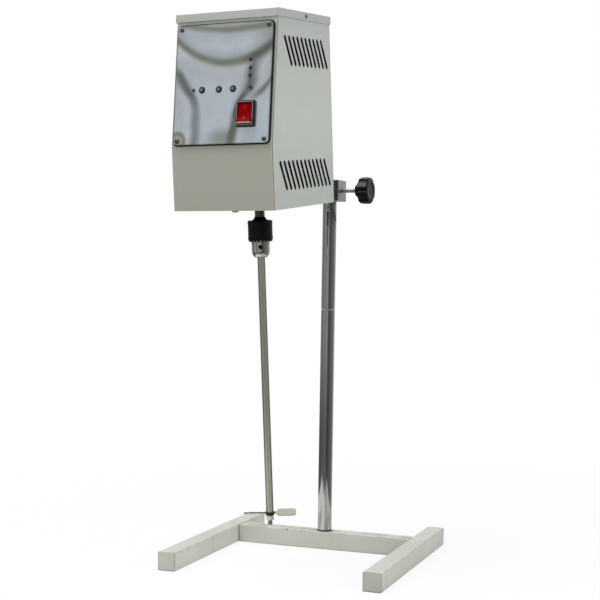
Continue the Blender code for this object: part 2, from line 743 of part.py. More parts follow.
def build_shell(paints, head, panel):
    """Folded sheet housing: front, both sides, and flanges at the rear and floor."""
    shell = piece("housing_shell", front_prism(side_profile(0, SHELL_TOP, SHELL_REAR), HALF),
                  paints["head paint"], head)
    upright = [v for v in shell.data.vertices if v.co.y < -HEAD_FRONT + FRONT_SETBACK]
    weights = shell.data.attributes.new("bevel_weight_edge", "FLOAT", "EDGE")
    front_corners = {v.index for v in upright}
    for edge in shell.data.edges:
        a, b = (shell.data.vertices[i] for i in edge.vertices)
        same_side = abs(a.co.x - b.co.x) < HALF
        on_front = a.index in front_corners and b.index in front_corners
        weights.data[edge.index].value = 1.0 if same_side and on_front else 0.0
    bend = shell.modifiers.new("sheet bends", "BEVEL")
    bend.width = SHEET_BEND
    bend.segments = 3
    bend.limit_method = "WEIGHT"

    cavity = side_profile(SHEET, SHELL_TOP + CUT, SHELL_REAR - SHEET)
    inside = front_prism(cavity, HALF - SHEET, SHEET)
    rear_window = box((-HALF + REAR_FLANGE, 0, REAR_FOOT_FLANGE),
                      (HALF - REAR_FLANGE, SHELL_REAR + CUT, SHELL_TOP - REAR_FLANGE))
    floor_window = box((-HALF + FLOOR_FLANGE, -HEAD_FRONT + 2 * FLOOR_FLANGE, -CUT),
                       (HALF - FLOOR_FLANGE, SHELL_REAR - FLOOR_FLANGE, SHEET + CUT))
    cut(shell, tool("housing inside", inside, head), tool("rear window", rear_window, head),
        tool("floor window", floor_window, head))
    slots = tool("louvre slots", louvre_slots(), head)
    cut(slots, tool("slot guard", side_wall_guard(), head))
    cut(shell, slots)
    cut(shell, panel_cutouts("housing panel cutouts", panel, -SHEET - CUT, CUT),
        lid_screw_holes("housing lid holes", head), cover_screw_holes("housing cover holes", head),
        floor_screw_hole("housing floor hole", head))


def build_covers(paints, head):
    """The rear cover and the lid, with the holes for their screws."""
    rear = piece("rear_cover", box((-HALF, HEAD_REAR - SHEET, 0), (HALF, HEAD_REAR, SHELL_TOP)),
                 paints["head paint"], head)
    x, z = gland_place()
    gland_hole = moved(bore(GLAND_NECK_R + SCREW_GAP, -CUT - SHEET, CUT + SHEET),
                       (x, HEAD_REAR, z), about("X", pi / 2))
    cut(rear, rear_holes("rear cover flange holes", head, FLANGE_SCREW_R + SCREW_GAP),
        cover_screw_holes("rear cover holes", head), tool("gland hole", gland_hole, head))

    reach = HALF + GAP + SHEET
    lip_z = HEAD_HEIGHT - LID_LIP
    lid = piece("lid", front_prism(lid_profile(GAP + SHEET, lip_z, HEAD_HEIGHT), reach),
                paints["head paint"], head)
    round_edges(lid, SHEET_BEND / 2, 2)
    inside = front_prism(lid_profile(GAP, lip_z - CUT, HEAD_HEIGHT - SHEET), reach - SHEET)
    cut(lid, tool("lid inside", inside, head), lid_screw_holes("lid holes", head))


def lid_profile(out, low, high):
    """The lid's side outline, set off from the housing, with its front lip along the slant."""
    lean = tan(FRONT_SLANT)
    foot = -HEAD_FRONT - FRONT_BEND_Z * lean - out / cos(FRONT_SLANT)
    back = HEAD_REAR + out
    return [(foot + low * lean, low), (foot + high * lean, high), (back, high), (back, low)]


def cover_screw_places():
    across = HALF - COVER_SCREW_INSET
    return [(side * across, HEAD_HEIGHT * share)
            for side in (-1, 1) for share in COVER_SCREW_ROW_SHARES]


def cover_screw_holes(name, head):
    holes = []
    for x, z in cover_screw_places():
        hole = bore(COVER_SCREW_R + SCREW_GAP, -CUT, SHEET + SHEET + GAP + CUT)
        holes.append(moved(hole, (x, HEAD_REAR, z), about("X", pi / 2)))
    return tool(name, gather(holes), head)


def lid_screw_holes(name, head):
    holes = []
    for side in (-1, 1):
        hole = bore(COVER_SCREW_R + SCREW_GAP, -SHEET - GAP - CUT, SHEET + GAP + CUT)
        holes.append(moved(hole, (side * HALF, LID_SCREW_Y, HEAD_HEIGHT - LID_LIP / 2),
                           about("Y", pi / 2)))
    return tool(name, gather(holes), head)


def floor_screw_place():
    across, along = FLOOR_SCREW_PLACE_SHARES
    return HALF * across, -HEAD_FRONT * along


def floor_screw_hole(name, head):
    x, y = floor_screw_place()
    hole = bore(COVER_SCREW_R + SCREW_GAP, -CUT, PLATE_TOP + CUT)
    return tool(name, hole, head, (x, y, 0))


def gland_place():
    across, along = GLAND_PLACE_SHARES
    return HEAD_WIDTH * across, HEAD_HEIGHT * along


def build_floor(paints, head):
    """The chassis plate, the angle that takes the arm's load, and the floor screw."""
    edge = HALF - SHEET - GAP
    front = -HEAD_FRONT + SHEET + GAP
    rear = SHELL_REAR - SHEET - GAP
    plate = piece("chassis_plate", box((-edge, front, FLOOR_Z), (edge, rear, PLATE_TOP)),
                  paints["aluminium"], head)
    shaft_hole = bore(FLOOR_HOLE_R, FLOOR_Z - CUT, PLATE_TOP + CUT, MEDIUM)
    cut(plate, tool("spindle hole", shaft_hole, head), floor_screw_hole("plate screw hole", head),
        tie_bolt_holes("plate tie bolt holes", head, FLOOR_Z - CUT, PLATE_TOP + CUT))

    half = FLANGE_WIDTH / 2
    back = SHELL_REAR - SHEET - GAP
    foot_z = PLATE_TOP + GAP
    upright = back - BRACKET_THICK
    angle = [(back, foot_z), (back, foot_z + BRACKET_HEIGHT), (upright, foot_z + BRACKET_HEIGHT),
             (upright, foot_z + BRACKET_THICK), (back - BRACKET_FOOT, foot_z + BRACKET_THICK),
             (back - BRACKET_FOOT, foot_z)]
    bracket = piece("rear_bracket", loft([[(x, y, z) for y, z in angle] for x in (-half, half)]),
                    paints["satin steel"], head)
    join(bracket, flange_bolts("flange bolts", head))

    x, y = floor_screw_place()
    screw = moved(pan_screw(FLOOR_SCREW_HEAD_R, FLOOR_SCREW_HEAD, COVER_SCREW_R, PLATE_TOP + SHEET),
                  turn=about("X", pi))
    piece("floor_screw", screw, paints["satin steel"], head, (x, y, -GAP))

    x, z = gland_place()
    near = HEAD_REAR + GAP
    inner = HEAD_REAR - SHEET - GAP
    piece("cable_gland", moved(gland_shape(), (x, near, z), about("X", -pi / 2)),
          paints["black rubber"], head)
    nut = moved(prism(hexagon(2 * GLAND_R), 0, GLAND_NUT_HEIGHT), (x, inner, z), about("X", pi / 2))
    nut = piece("gland_nut", nut, paints["black rubber"], head)
    hole = moved(bore(GLAND_NECK_R + SCREW_GAP, -CUT, GLAND_NUT_HEIGHT + CUT),
                 (x, inner, z), about("X", pi / 2))
    cut(nut, tool("gland nut bore", hole, head))


def gland_shape():
    """A threaded neck, a collar and a domed cap round an open cord bore."""
    return revolve([(GLAND_BORE_R, -GLAND_TAIL), (GLAND_NECK_R, -GLAND_TAIL), (GLAND_NECK_R, 0),
                    (GLAND_R * 1.15, 0), (GLAND_R * 1.15, GLAND_DOME * 0.4),
                    (GLAND_R, GLAND_DOME * 0.45), (GLAND_R * 0.9, GLAND_DOME * 0.8),
                    (GLAND_R * 0.7, GLAND_DOME), (GLAND_BORE_R, GLAND_DOME)], COARSE)


def on_panel(place):
    """A share of the panel's size to a place in the panel's frame."""
    across, up = place
    return PANEL_WIDTH * across, PANEL_LIFT + PANEL_HEIGHT * up


def panel_screw_places():
    middle = PANEL_LIFT + PANEL_HEIGHT / 2
    across = PANEL_WIDTH * PANEL_SCREW_SHARE
    return [(x, middle + y) for x, y in four(across, PANEL_HEIGHT * PANEL_SCREW_ROW_SHARE)]


def switch_hole(extra, low, high):
    x, y = on_panel(SWITCH_PLACE_SHARES)
    half_x = SWITCH_WIDTH / 2 - SWITCH_BODY_INSET + extra
    half_y = SWITCH_HEIGHT / 2 - SWITCH_BODY_INSET + extra
    return box((x - half_x, y - half_y, low), (x + half_x, y + half_y, high))


def panel_cutouts(name, panel, low, high):
    """What is cut behind the panel: a window, the switch and the screws."""
    middle = PANEL_LIFT + PANEL_HEIGHT * WINDOW_CENTRE_SHARE
    half_x = PANEL_WIDTH * WINDOW_WIDTH_SHARE / 2
    half_y = PANEL_HEIGHT * WINDOW_HEIGHT_SHARE / 2
    holes = [box((-half_x, middle - half_y, low), (half_x, middle + half_y, high)),
             switch_hole(GAP, low, high)]
    for x, y in panel_screw_places():
        holes.append(moved(bore(COVER_SCREW_R + SCREW_GAP, low, high), (x, y, 0)))
    return tool(name, gather(holes), panel)


def panel_holes(name, panel, low, high):
    """The panel's own holes: buttons, lamps, lens, switch and screws."""
    holes = [switch_hole(GAP, low, high)]
    for x, y in panel_screw_places():
        holes.append(moved(bore(COVER_SCREW_R + SCREW_GAP, low, high), (x, y, 0)))
    for share in BUTTON_PLACE_SHARES:
        x, y = on_panel((share, BUTTON_ROW_SHARE))
        holes.append(moved(bore(BUTTON_RING_R + GAP, low, high, MEDIUM), (x, y, 0)))
    for place in LAMP_PLACE_SHARES:
        x, y = on_panel(place)
        holes.append(moved(bore(LAMP_R + GAP, low, high), (x, y, 0)))
    x, y = on_panel(LENS_PLACE_SHARES)
    holes.append(moved(bore(LENS_R + GAP + GAP, low, high), (x, y, 0)))
    return tool(name, gather(holes), panel)


def build_panel(paints, panel):
    """The polished panel on its black gasket, with four screws."""
    middle = PANEL_LIFT + PANEL_HEIGHT / 2
    rim = 2 * GASKET_RIM
    outline = rounded(PANEL_WIDTH + rim, PANEL_HEIGHT + rim, PANEL_CORNER + GASKET_RIM)
    gasket = piece("panel_gasket", moved(prism(outline, GAP, GAP + GASKET_THICK), (0, middle, 0)),
                   paints["black rubber"], panel)
    cut(gasket, panel_cutouts("gasket cutouts", panel, GAP - CUT, GAP + GASKET_THICK + CUT))
    outline = rounded(PANEL_WIDTH, PANEL_HEIGHT, PANEL_CORNER)
    sheet = piece("control_panel", moved(prism(outline, PANEL_Z, PANEL_FACE), (0, middle, 0)),
                  paints["polished sheet"], panel)
    cut(sheet, panel_holes("panel holes", panel, PANEL_Z - CUT, PANEL_FACE + CUT))
    length = PANEL_FACE + SHEET + CUT
    for number, (x, y) in enumerate(panel_screw_places(), 1):
        piece("panel_screw_%d" % number,
              pan_screw(COVER_SCREW_HEAD_R, COVER_SCREW_HEAD, COVER_SCREW_R, length),
              paints["satin steel"], panel, (x, y, PANEL_FACE + GAP))


def build_buttons(paints, panel):
    """Three push buttons in one black frame, whose collars stand out of the panel."""
    first, last = (PANEL_WIDTH * BUTTON_PLACE_SHARES[i] for i in (0, -1))
    row = on_panel((0, BUTTON_ROW_SHARE))[1]
    rim = BUTTON_RING_R + BUTTON_FRAME_RIM
    low = -BUTTON_FRAME_THICK
    button_frame = piece("button_frame", box((first - rim, row - rim, low), (last + rim, row + rim, 0)),
                         paints["gloss black"], panel)
    collars = []
    bores = []
    top = PANEL_FACE + BUTTON_RING_PROUD
    for share, name in zip(BUTTON_PLACE_SHARES, ("left_button", "middle_button", "right_button")):
        x = PANEL_WIDTH * share
        profile = [(0, low / 2), (BUTTON_RING_R, low / 2), (BUTTON_RING_R, top - BUTTON_RING_PROUD * 0.4),
                   (BUTTON_RING_R * 0.86, top), (0, top)]
        collars.append(moved(revolve(profile, MEDIUM), (x, row, 0)))
        bores.append(moved(bore(BUTTON_R + RUN, low - CUT, top + CUT), (x, row, 0)))
        collar = low - GAP
        foot = -BOARD_DEPTH + TACT_HEIGHT + GAP + BUTTON_TRAVEL
        face = top + BUTTON_PROUD
        profile = [(0, foot), (BUTTON_R * 0.7, foot), (BUTTON_R * 0.7, collar - BUTTON_COLLAR_THICK),
                   (BUTTON_COLLAR_R, collar - BUTTON_COLLAR_THICK), (BUTTON_COLLAR_R, collar),
                   (BUTTON_R, collar), (BUTTON_R, face - GAP), (BUTTON_R - GAP, face), (0, face)]
        piece(name, revolve(profile, COARSE), paints["button grey"], panel, (x, row, 0))
    join(button_frame, tool("button collars", gather(collars), panel))
    cut(button_frame, tool("button bores", gather(bores), panel))


def lamp_shapes():
    """Four small lamps and one behind a ring, rooted in the board."""
    low = -BOARD_DEPTH - BOARD_THICK / 2
    lamps = []
    for place in LAMP_PLACE_SHARES:
        x, y = on_panel(place)
        top = PANEL_FACE + LAMP_PROUD
        profile = [(0, low), (LAMP_R, low), (LAMP_R, top - LAMP_R / 2),
                   (LAMP_R * 0.75, top - LAMP_R * 0.12), (0, top)]
        lamps.append(moved(revolve(profile, COARSE), (x, y, 0)))
    x, y = on_panel(LENS_PLACE_SHARES)
    lamps.append(moved(rod(LENS_R, low, PANEL_FACE + LENS_RING_PROUD / 2, COARSE), (x, y, 0)))
    return lamps


def build_switch(paints, panel):
    """A rocker switch: bezel and body in one, the rocker on its pivot, and terminals."""
    x, y = on_panel(SWITCH_PLACE_SHARES)
    seat = PANEL_FACE + GAP
    face = seat + SWITCH_PROUD
    back = face - SWITCH_DEPTH
    outline = rounded(SWITCH_WIDTH, SWITCH_HEIGHT, SWITCH_RIM / 2, 2)
    inner_w = SWITCH_WIDTH - 2 * SWITCH_BODY_INSET
    inner_h = SWITCH_HEIGHT - 2 * SWITCH_BODY_INSET
    stem = rounded(inner_w, inner_h, SWITCH_RIM / 2, 2)
    slope = rounded(SWITCH_WIDTH - SWITCH_RIM, SWITCH_HEIGHT - SWITCH_RIM, SWITCH_RIM / 2, 2)
    loops = [(stem, back), (stem, seat), (outline, seat), (outline, face - SWITCH_RIM / 2), (slope, face)]
    body = piece("switch_body", loft([[(a, b, z) for a, b in points] for points, z in loops]),
                 paints["gloss black"], panel, (x, y, 0))
    well_w = SWITCH_WIDTH / 2 - SWITCH_RIM
    well_h = SWITCH_HEIGHT / 2 - SWITCH_RIM
    well = box((-well_w, -well_h, face - SWITCH_WELL_DEPTH), (well_w, well_h, face + CUT))
    pivot_z = face - SWITCH_WELL_DEPTH / 2
    pin = moved(bore(ROCKER_PIVOT_R + RUN, -well_w - CUT / 2, well_w + CUT / 2),
                (0, 0, pivot_z), about("Y", pi / 2))
    cut(body, tool("rocker well", well, panel, (x, y, 0)), tool("pivot sockets", pin, panel, (x, y, 0)))

    width = well_w - ROCKER_SIDE_GAP
    swing = well_h / cos(ROCKER_TILT) - well_h
    length = well_h - ROCKER_SIDE_GAP - swing - SWITCH_RIM / 4
    rocker = piece("power_rocker", rocker_shape(width, length), paints["rocker red"], panel,
                   (x, y, pivot_z), (ROCKER_TILT, 0, 0))
    pin = moved(rod(ROCKER_PIVOT_R, -well_w - CUT / 3, well_w + CUT / 3, COARSE), turn=about("Y", pi / 2))
    join(rocker, tool("rocker pins", pin, panel, (x, y, pivot_z), (ROCKER_TILT, 0, 0)))

    tabs = []
    root = SWITCH_BODY_INSET
    for across in (-TERMINAL_SPREAD_SHARE, TERMINAL_SPREAD_SHARE):
        for along in (-TERMINAL_SPREAD_SHARE, TERMINAL_SPREAD_SHARE):
            cx = x + inner_w * across
            cy = y + inner_h * along
            tabs.append(box((cx - TERMINAL_WIDTH / 2, cy - TERMINAL_THICK / 2, back - TERMINAL_LENGTH),
                            (cx + TERMINAL_WIDTH / 2, cy + TERMINAL_THICK / 2, back + root)))
    join(body, tool("switch terminals", gather(tabs), panel))


def rocker_shape(half_width, half_length):
    """A shallow V on top and a round belly, run across the switch."""
    top = SWITCH_WELL_DEPTH / 2 + ROCKER_CROWN * 0.55
    dip = ROCKER_CROWN
    belly = SWITCH_WELL_DEPTH / 2 * 0.62
    profile = [(-half_length, top), (-half_length * 0.5, top - dip * 0.62), (0, top - dip),
               (half_length * 0.5, top - dip * 0.62), (half_length, top),
               (half_length * 0.97, 0), (half_length * 0.62, -belly * 0.75), (0, -belly),
               (-half_length * 0.62, -belly * 0.75), (-half_length * 0.97, 0)]
    return loft([[(x, y, z) for y, z in profile] for x in (-half_width, half_width)])


def build_board(paints, panel):
    """The fitted control board: posts, lamps, key switches, a relay and a capacitor."""
    middle = PANEL_LIFT + PANEL_HEIGHT * WINDOW_CENTRE_SHARE
    half_x = PANEL_WIDTH * BOARD_WIDTH_SHARE / 2
    half_y = PANEL_HEIGHT * BOARD_HEIGHT_SHARE / 2
    face = -BOARD_DEPTH
    back = face - BOARD_THICK
    board = piece("control_board",
                  box((-half_x, middle - half_y, back), (half_x, middle + half_y, face)),
                  paints["board green"], panel)
    root = BOARD_THICK / 2
    fitted = lamp_shapes()
    for x, y in four(half_x - POST_INSET, half_y - POST_INSET):
        fitted.append(moved(rod(POST_R, face - root, -SHEET - GAP, COARSE), (x, middle + y, 0)))
    half = TACT_SIZE / 2
    for share in BUTTON_PLACE_SHARES:
        x, y = on_panel((share, BUTTON_ROW_SHARE))
        fitted.append(box((x - half, y - half, face - root), (x + half, y + half, face + TACT_HEIGHT)))
    relay_x = half_x * RELAY_PLACE_SHARE
    fitted.append(box((relay_x, middle - RELAY_SIZE / 2, back - RELAY_SIZE),
                      (relay_x + RELAY_SIZE, middle + RELAY_SIZE / 2, back + root)))
    can = rod(CAPACITOR_R, back - CAPACITOR_HEIGHT, back + root, COARSE)
    fitted.append(moved(can, (-half_x * CAPACITOR_PLACE_SHARE, middle, 0)))
    join(board, tool("board fittings", gather(fitted), panel))
    x, y = on_panel(LENS_PLACE_SHARES)
    seat = PANEL_FACE + GAP
    piece("lens_ring", ring(LENS_R + GAP, LENS_RING_R, seat, seat + LENS_RING_PROUD, COARSE),
          paints["satin steel"], panel, (x, y, 0))


def tie_bolt_places():
    reach = END_PLATE_SIZE / 2 - TIE_BOLT_INSET
    return four(reach, reach)


def tie_bolt_holes(name, head, low, high):
    holes = [moved(bore(TIE_BOLT_R + SCREW_GAP, low, high), (x, y, 0))
             for x, y in tie_bolt_places()]
    return tool(name, gather(holes), head)


def tie_bolts(name, head):
    """Four long bolts beside the can, from the upper plate into the chassis plate."""
    bolts = []
    for x, y in tie_bolt_places():
        bolt = pan_screw(TIE_BOLT_HEAD_R, TIE_BOLT_HEAD, TIE_BOLT_R, DRIVE_TOP - FLOOR_Z, HIDDEN)
        bolts.append(moved(bolt, (x, y, DRIVE_TOP)))
    return tool(name, gather(bolts), head)


def build_motor(paints, head):
    """Motor can between two bearing plates, tied down to the chassis plate."""
    outline = rounded(END_PLATE_SIZE, END_PLATE_SIZE, END_PLATE_EDGE, 2)
    clear_r = SPINDLE_R + CUT
    plates = (("lower_bearing_plate", LOWER_PLATE_Z, 1), ("upper_bearing_plate", UPPER_PLATE_Z, -1))
    for name, low, open_up in plates:
        high = low + END_PLATE_THICK
        plate = piece(name, prism(outline, low, high), paints["aluminium"], head)
        through = bore(clear_r, low - CUT, high + CUT, MEDIUM)
        if open_up > 0:
            pocket = bore(BEARING_R + GAP, high - BEARING_WIDTH - GAP, high + CUT, MEDIUM)
            bearing_low = high - BEARING_WIDTH
        else:
            pocket = bore(BEARING_R + GAP, low - CUT, low + BEARING_WIDTH + GAP, MEDIUM)
            bearing_low = low
        cut(plate, tool(name + " shaft hole", through, head), tool(name + " pocket", pocket, head))
        bearing = ring(SPINDLE_R + RUN, BEARING_R, bearing_low, bearing_low + BEARING_WIDTH)
        piece(name.replace("_plate", ""), bearing, paints["satin steel"], head)
        if open_up > 0:
            cut(plate, tie_bolt_holes("lower plate bolt holes", head, low - CUT, high + CUT))
        else:
            join(plate, tie_bolts("tie bolts", head))

    piece("motor_can", ring(MOTOR_R - MOTOR_WALL, MOTOR_R, MOTOR_Z, MOTOR_Z + MOTOR_LENGTH, FINE),
          paints["lamination"], head)
    middle = MOTOR_Z + MOTOR_LENGTH / 2
    piece("motor_stator", ring(STATOR_BORE_R, MOTOR_R - MOTOR_WALL - GAP,
                               middle - STATOR_LENGTH / 2, middle + STATOR_LENGTH / 2, FINE),
          paints["lamination"], head)
    piece("motor_rotor", ring(SPINDLE_R + GAP, ROTOR_R, middle - ROTOR_LENGTH / 2,
                              middle + ROTOR_LENGTH / 2, FINE), paints["lamination"], head)


def build_drive_top(paints, head):
    """What turns above the motor: the slotted speed disc and the cooling fan."""
    disc_z = DRIVE_TOP + (SENSOR_HEIGHT - SPEED_DISC_THICK) / 2
    outline = []
    for i in range(SPEED_DISC_SLOTS):
        for step, radius in ((0, SPEED_DISC_R), (0.55, SPEED_DISC_R),
                             (0.55, SPEED_DISC_R - SPEED_SLOT_DEPTH), (1, SPEED_DISC_R - SPEED_SLOT_DEPTH)):
            angle = 2 * pi * (i + step) / SPEED_DISC_SLOTS
            outline.append((radius * cos(angle), radius * sin(angle)))
    bore_r = SPINDLE_R + GAP
    disc = piece("speed_disc", prism(outline, disc_z, disc_z + SPEED_DISC_THICK),
                 paints["fan plastic"], head)
    hub = rod(SPEED_DISC_HUB_R, disc_z - SPEED_DISC_HUB / 2, disc_z + SPEED_DISC_HUB)
    hole = bore(bore_r, disc_z - SPEED_DISC_HUB - CUT, disc_z + SPEED_DISC_HUB + CUT, MEDIUM)
    join(disc, tool("disc hub", hub, head))
    cut(disc, tool("disc bore", hole, head))

    fan_z = DRIVE_TOP + SENSOR_HEIGHT + CUT
    outline = []
    half_blade = FAN_BLADE_THICK / 2
    for i in range(FAN_BLADES):
        angle = 2 * pi * i / FAN_BLADES
        for radius, side in ((FAN_HUB_R, -1), (FAN_R, -1), (FAN_R, 1), (FAN_HUB_R, 1)):
            outline.append((radius * cos(angle) - side * half_blade * sin(angle),
                            radius * sin(angle) + side * half_blade * cos(angle)))
    fan = piece("cooling_fan", prism(outline, fan_z, fan_z + FAN_HEIGHT), paints["fan plastic"], head)
    hole = bore(bore_r, fan_z - CUT, fan_z + FAN_HEIGHT + CUT, MEDIUM)
    cut(fan, tool("fan bore", hole, head))

    reach = SPEED_DISC_R - SENSOR_REACH
    half = SENSOR_WIDTH / 2
    sensor = piece("speed_sensor", box((-half, reach, DRIVE_TOP + GAP),
                                       (half, reach + SENSOR_DEPTH, DRIVE_TOP + SENSOR_HEIGHT)),
                   paints["gloss black"], head)
    middle = disc_z + SPEED_DISC_THICK / 2
    mouth = box((-half - CUT, reach - CUT, middle - SENSOR_MOUTH / 2),
                (half + CUT, SPEED_DISC_R + CUT / 2, middle + SENSOR_MOUTH / 2))
    cut(sensor, tool("sensor mouth", mouth, head))


def build_transformer(paints, head):
    """A small mains transformer on the chassis plate, beside the rear bracket."""
    low = PLATE_TOP + GAP
    back = SHELL_REAR - SHEET - 2 * GAP
    right = HALF - SHEET - TRANSFORMER_COIL_OUT
    left = right - TRANSFORMER_WIDTH
    front = back - TRANSFORMER_DEPTH
    core = piece("transformer", box((left, front, low), (right, back, low + TRANSFORMER_HEIGHT)),
                 paints["lamination"], head)
    coil = box((left + TRANSFORMER_COIL_OUT, front - TRANSFORMER_COIL_OUT, low + TRANSFORMER_COIL_OUT),
               (right - TRANSFORMER_COIL_OUT, back - TRANSFORMER_COIL_OUT,
                low + TRANSFORMER_HEIGHT - TRANSFORMER_COIL_OUT))
    join(core, tool("transformer coil", coil, head))


def build_spindle(paints, head):
    """The long motor shaft that carries the chuck under the head."""
    profile = [(0, -CHUCK_TOP - SPINDLE_IN_CHUCK), (SPINDLE_R, -CHUCK_TOP - SPINDLE_IN_CHUCK),
               (SPINDLE_R, SPINDLE_TOP_Z - ROD_CHAMFER), (SPINDLE_R - ROD_CHAMFER, SPINDLE_TOP_Z),
               (0, SPINDLE_TOP_Z)]
    piece("spindle", revolve(profile, MEDIUM), paints["satin steel"], head)


def jaw_turn(index):
    """Each jaw lies midway between two key holes."""
    return KEY_HOLE_TURN + (2 * index + 1) * pi / CHUCK_KEYS


def jaw_matrix(index):
    """From a jaw's own upright axis to its leaning place in the nose."""
    out = SHAFT_R + GAP + JAW_R * 0.55
    foot = Vector((out, 0, -NOSE_BOTTOM - JAW_OUT))
    return about("Z", jaw_turn(index)) @ Matrix.Translation(foot) @ about("Y", JAW_LEAN)


def build_chuck(paints, head):
    """A keyed chuck: body with nose and key holes, toothed sleeve, three leaning jaws."""
    top = -CHUCK_TOP
    deep = top - SPINDLE_IN_CHUCK - GAP
    cone_r = CHUCK_R - SLEEVE_CHAMFER
    nose = -NOSE_BOTTOM
    profile = [(0, top), (CHUCK_CONE_R, top), (cone_r * 0.82, top - CHUCK_CONE * 0.7),
               (cone_r, -SLEEVE_TOP + GAP), (CHUCK_R, -SLEEVE_TOP - SLEEVE_CHAMFER),
               (CHUCK_R, nose + NOSE_CHAMFER), (CHUCK_R - SLEEVE_CHAMFER, nose + NOSE_CHAMFER * 0.35),
               (NOSE_END_R, nose), (0, nose)]
    body = piece("chuck_body", revolve(profile, FINE), paints["satin steel"], head)
    spindle_bore = bore(SPINDLE_R + GAP, deep, top + CUT, MEDIUM)
    shaft_top = top - SHAFT_IN_CHUCK
    shaft_bore = bore(SHAFT_R + GAP + GAP, nose - CUT, shaft_top + GAP, MEDIUM)
    cut(body, tool("chuck spindle bore", spindle_bore, head), tool("chuck shaft bore", shaft_bore, head))
    key_holes = []
    for i in range(CHUCK_KEYS):
        turn = KEY_HOLE_TURN + 2 * pi * i / CHUCK_KEYS
        hole = moved(bore(KEY_HOLE_R, CHUCK_R - KEY_HOLE_DEPTH, CHUCK_R + CUT),
                     turn=about("Y", pi / 2))
        key_holes.append(moved(hole, (0, 0, -SLEEVE_BOTTOM - KEY_HOLE_DROP), about("Z", turn)))
    cut(body, tool("key holes", gather(key_holes), head))
    jaw_holes = []
    for i in range(CHUCK_KEYS):
        hole = bore(JAW_R + RUN, -CUT, JAW_LENGTH + JAW_TRAVEL + CUT / 2)
        jaw_holes.append(moved(hole, turn=jaw_matrix(i)))
    cut(body, tool("jaw holes", gather(jaw_holes), head))

    for i in range(CHUCK_KEYS):
        matrix = jaw_matrix(i)
        jaw = piece("chuck_jaw_%d" % (i + 1), moved(rod(JAW_R, 0, JAW_LENGTH, COARSE), turn=matrix),
                    paints["satin steel"], head)
        grip = bore(SHAFT_R + GAP, nose - CUT - CUT, shaft_top, MEDIUM)
        cut(jaw, tool("jaw grip %d" % (i + 1), grip, head))
    build_sleeve(paints, head)


def build_sleeve(paints, head):
    """The black sleeve, with its bevel teeth cut round the lower edge."""
    inner = CHUCK_R + RUN
    top = -SLEEVE_TOP
    low = -SLEEVE_BOTTOM
    c = SLEEVE_CHAMFER
    profile = [(inner, top), (SLEEVE_R - c, top), (SLEEVE_R, top - c),
               (SLEEVE_R, low + SLEEVE_TOOTH_HEIGHT), (SLEEVE_R - SLEEVE_TOOTH_CONE / 2, low),
               (inner, low)]
    sleeve = piece("chuck_sleeve", revolve(profile, FINE), paints["black oxide"], head)
    teeth = []
    pitch = 2 * pi * SLEEVE_R / SLEEVE_TEETH
    gap_top = pitch * 0.22
    gap_low = pitch * 0.36
    depth = SLEEVE_TOOTH_HEIGHT * 0.8
    for i in range(SLEEVE_TEETH):
        loops = []
        for x, scale in ((inner - CUT / 4, 0.72), (SLEEVE_R + CUT, 1.0)):
            loops.append([(x, -gap_low * scale, low - CUT / 4), (x, gap_low * scale, low - CUT / 4),
                          (x, gap_top * scale, low + depth), (x, -gap_top * scale, low + depth)])
        teeth.append(moved(loft(loops), turn=about("Z", 2 * pi * (i + 0.5) / SLEEVE_TEETH)))
    cut(sleeve, tool("tooth gaps", gather(teeth), head))


def build_shaft(paints, head):
    """The stirring shaft, its blades, and the washer and nut that hold them."""
    shaft_top = -CHUCK_TOP - SHAFT_IN_CHUCK
    c = ROD_CHAMFER
    profile = [(0, -STUD_END), (STUD_R - c / 2, -STUD_END), (STUD_R, -STUD_END + c),
               (STUD_R, -SHAFT_END), (SHAFT_R - c / 2, -SHAFT_END), (SHAFT_R, -SHAFT_END + c),
               (SHAFT_R, shaft_top - c), (SHAFT_R - c, shaft_top), (0, shaft_top)]
    piece("stirrer_shaft", revolve(profile, MEDIUM), paints["satin steel"], head)

    hub_top = -SHAFT_END - GAP
    hub_low = hub_top - BLADE_THICK
    middle = (hub_top + hub_low) / 2
    hub = piece("agitator", rod(HUB_R, hub_low, hub_top), paints["satin steel"], head)
    for i in range(2):
        turn = about("Z", BLADE_TURN + pi * i) @ about("X", BLADE_PITCH)
        length = BLADE_TIP_R - BLADE_ROOT_R
        outline = [(x + BLADE_ROOT_R + length / 2, y)
                   for x, y in rounded(length, BLADE_WIDTH, BLADE_CORNER, 5)]
        paddle = moved(prism(outline, -BLADE_THICK / 2, BLADE_THICK / 2), (0, 0, middle), turn)
        neck = neck_shape()
        join(hub, tool("paddle %d" % (i + 1), paddle, head),
             tool("neck %d" % (i + 1), moved(neck, (0, 0, middle), about("Z", BLADE_TURN + pi * i)), head))
    hole = bore(STUD_R + SCREW_GAP, hub_low - CUT, hub_top + CUT)
    cut(hub, tool("agitator bore", hole, head))

    washer_top = hub_low - GAP
    washer_low = washer_top - LOCK_WASHER_THICK
    piece("lock_washer", ring(STUD_R + SCREW_GAP, LOCK_WASHER_R, washer_low, washer_top, MEDIUM),
          paints["black oxide"], head)
    nut_top = washer_low - GAP
    nut = piece("shaft_nut", prism(hexagon(SHAFT_NUT_FLATS), nut_top - SHAFT_NUT_HEIGHT, nut_top),
                paints["satin steel"], head)
    hole = bore(STUD_R + SCREW_GAP, nut_top - SHAFT_NUT_HEIGHT - CUT, nut_top + CUT)
    cut(nut, tool("shaft nut bore", hole, head))


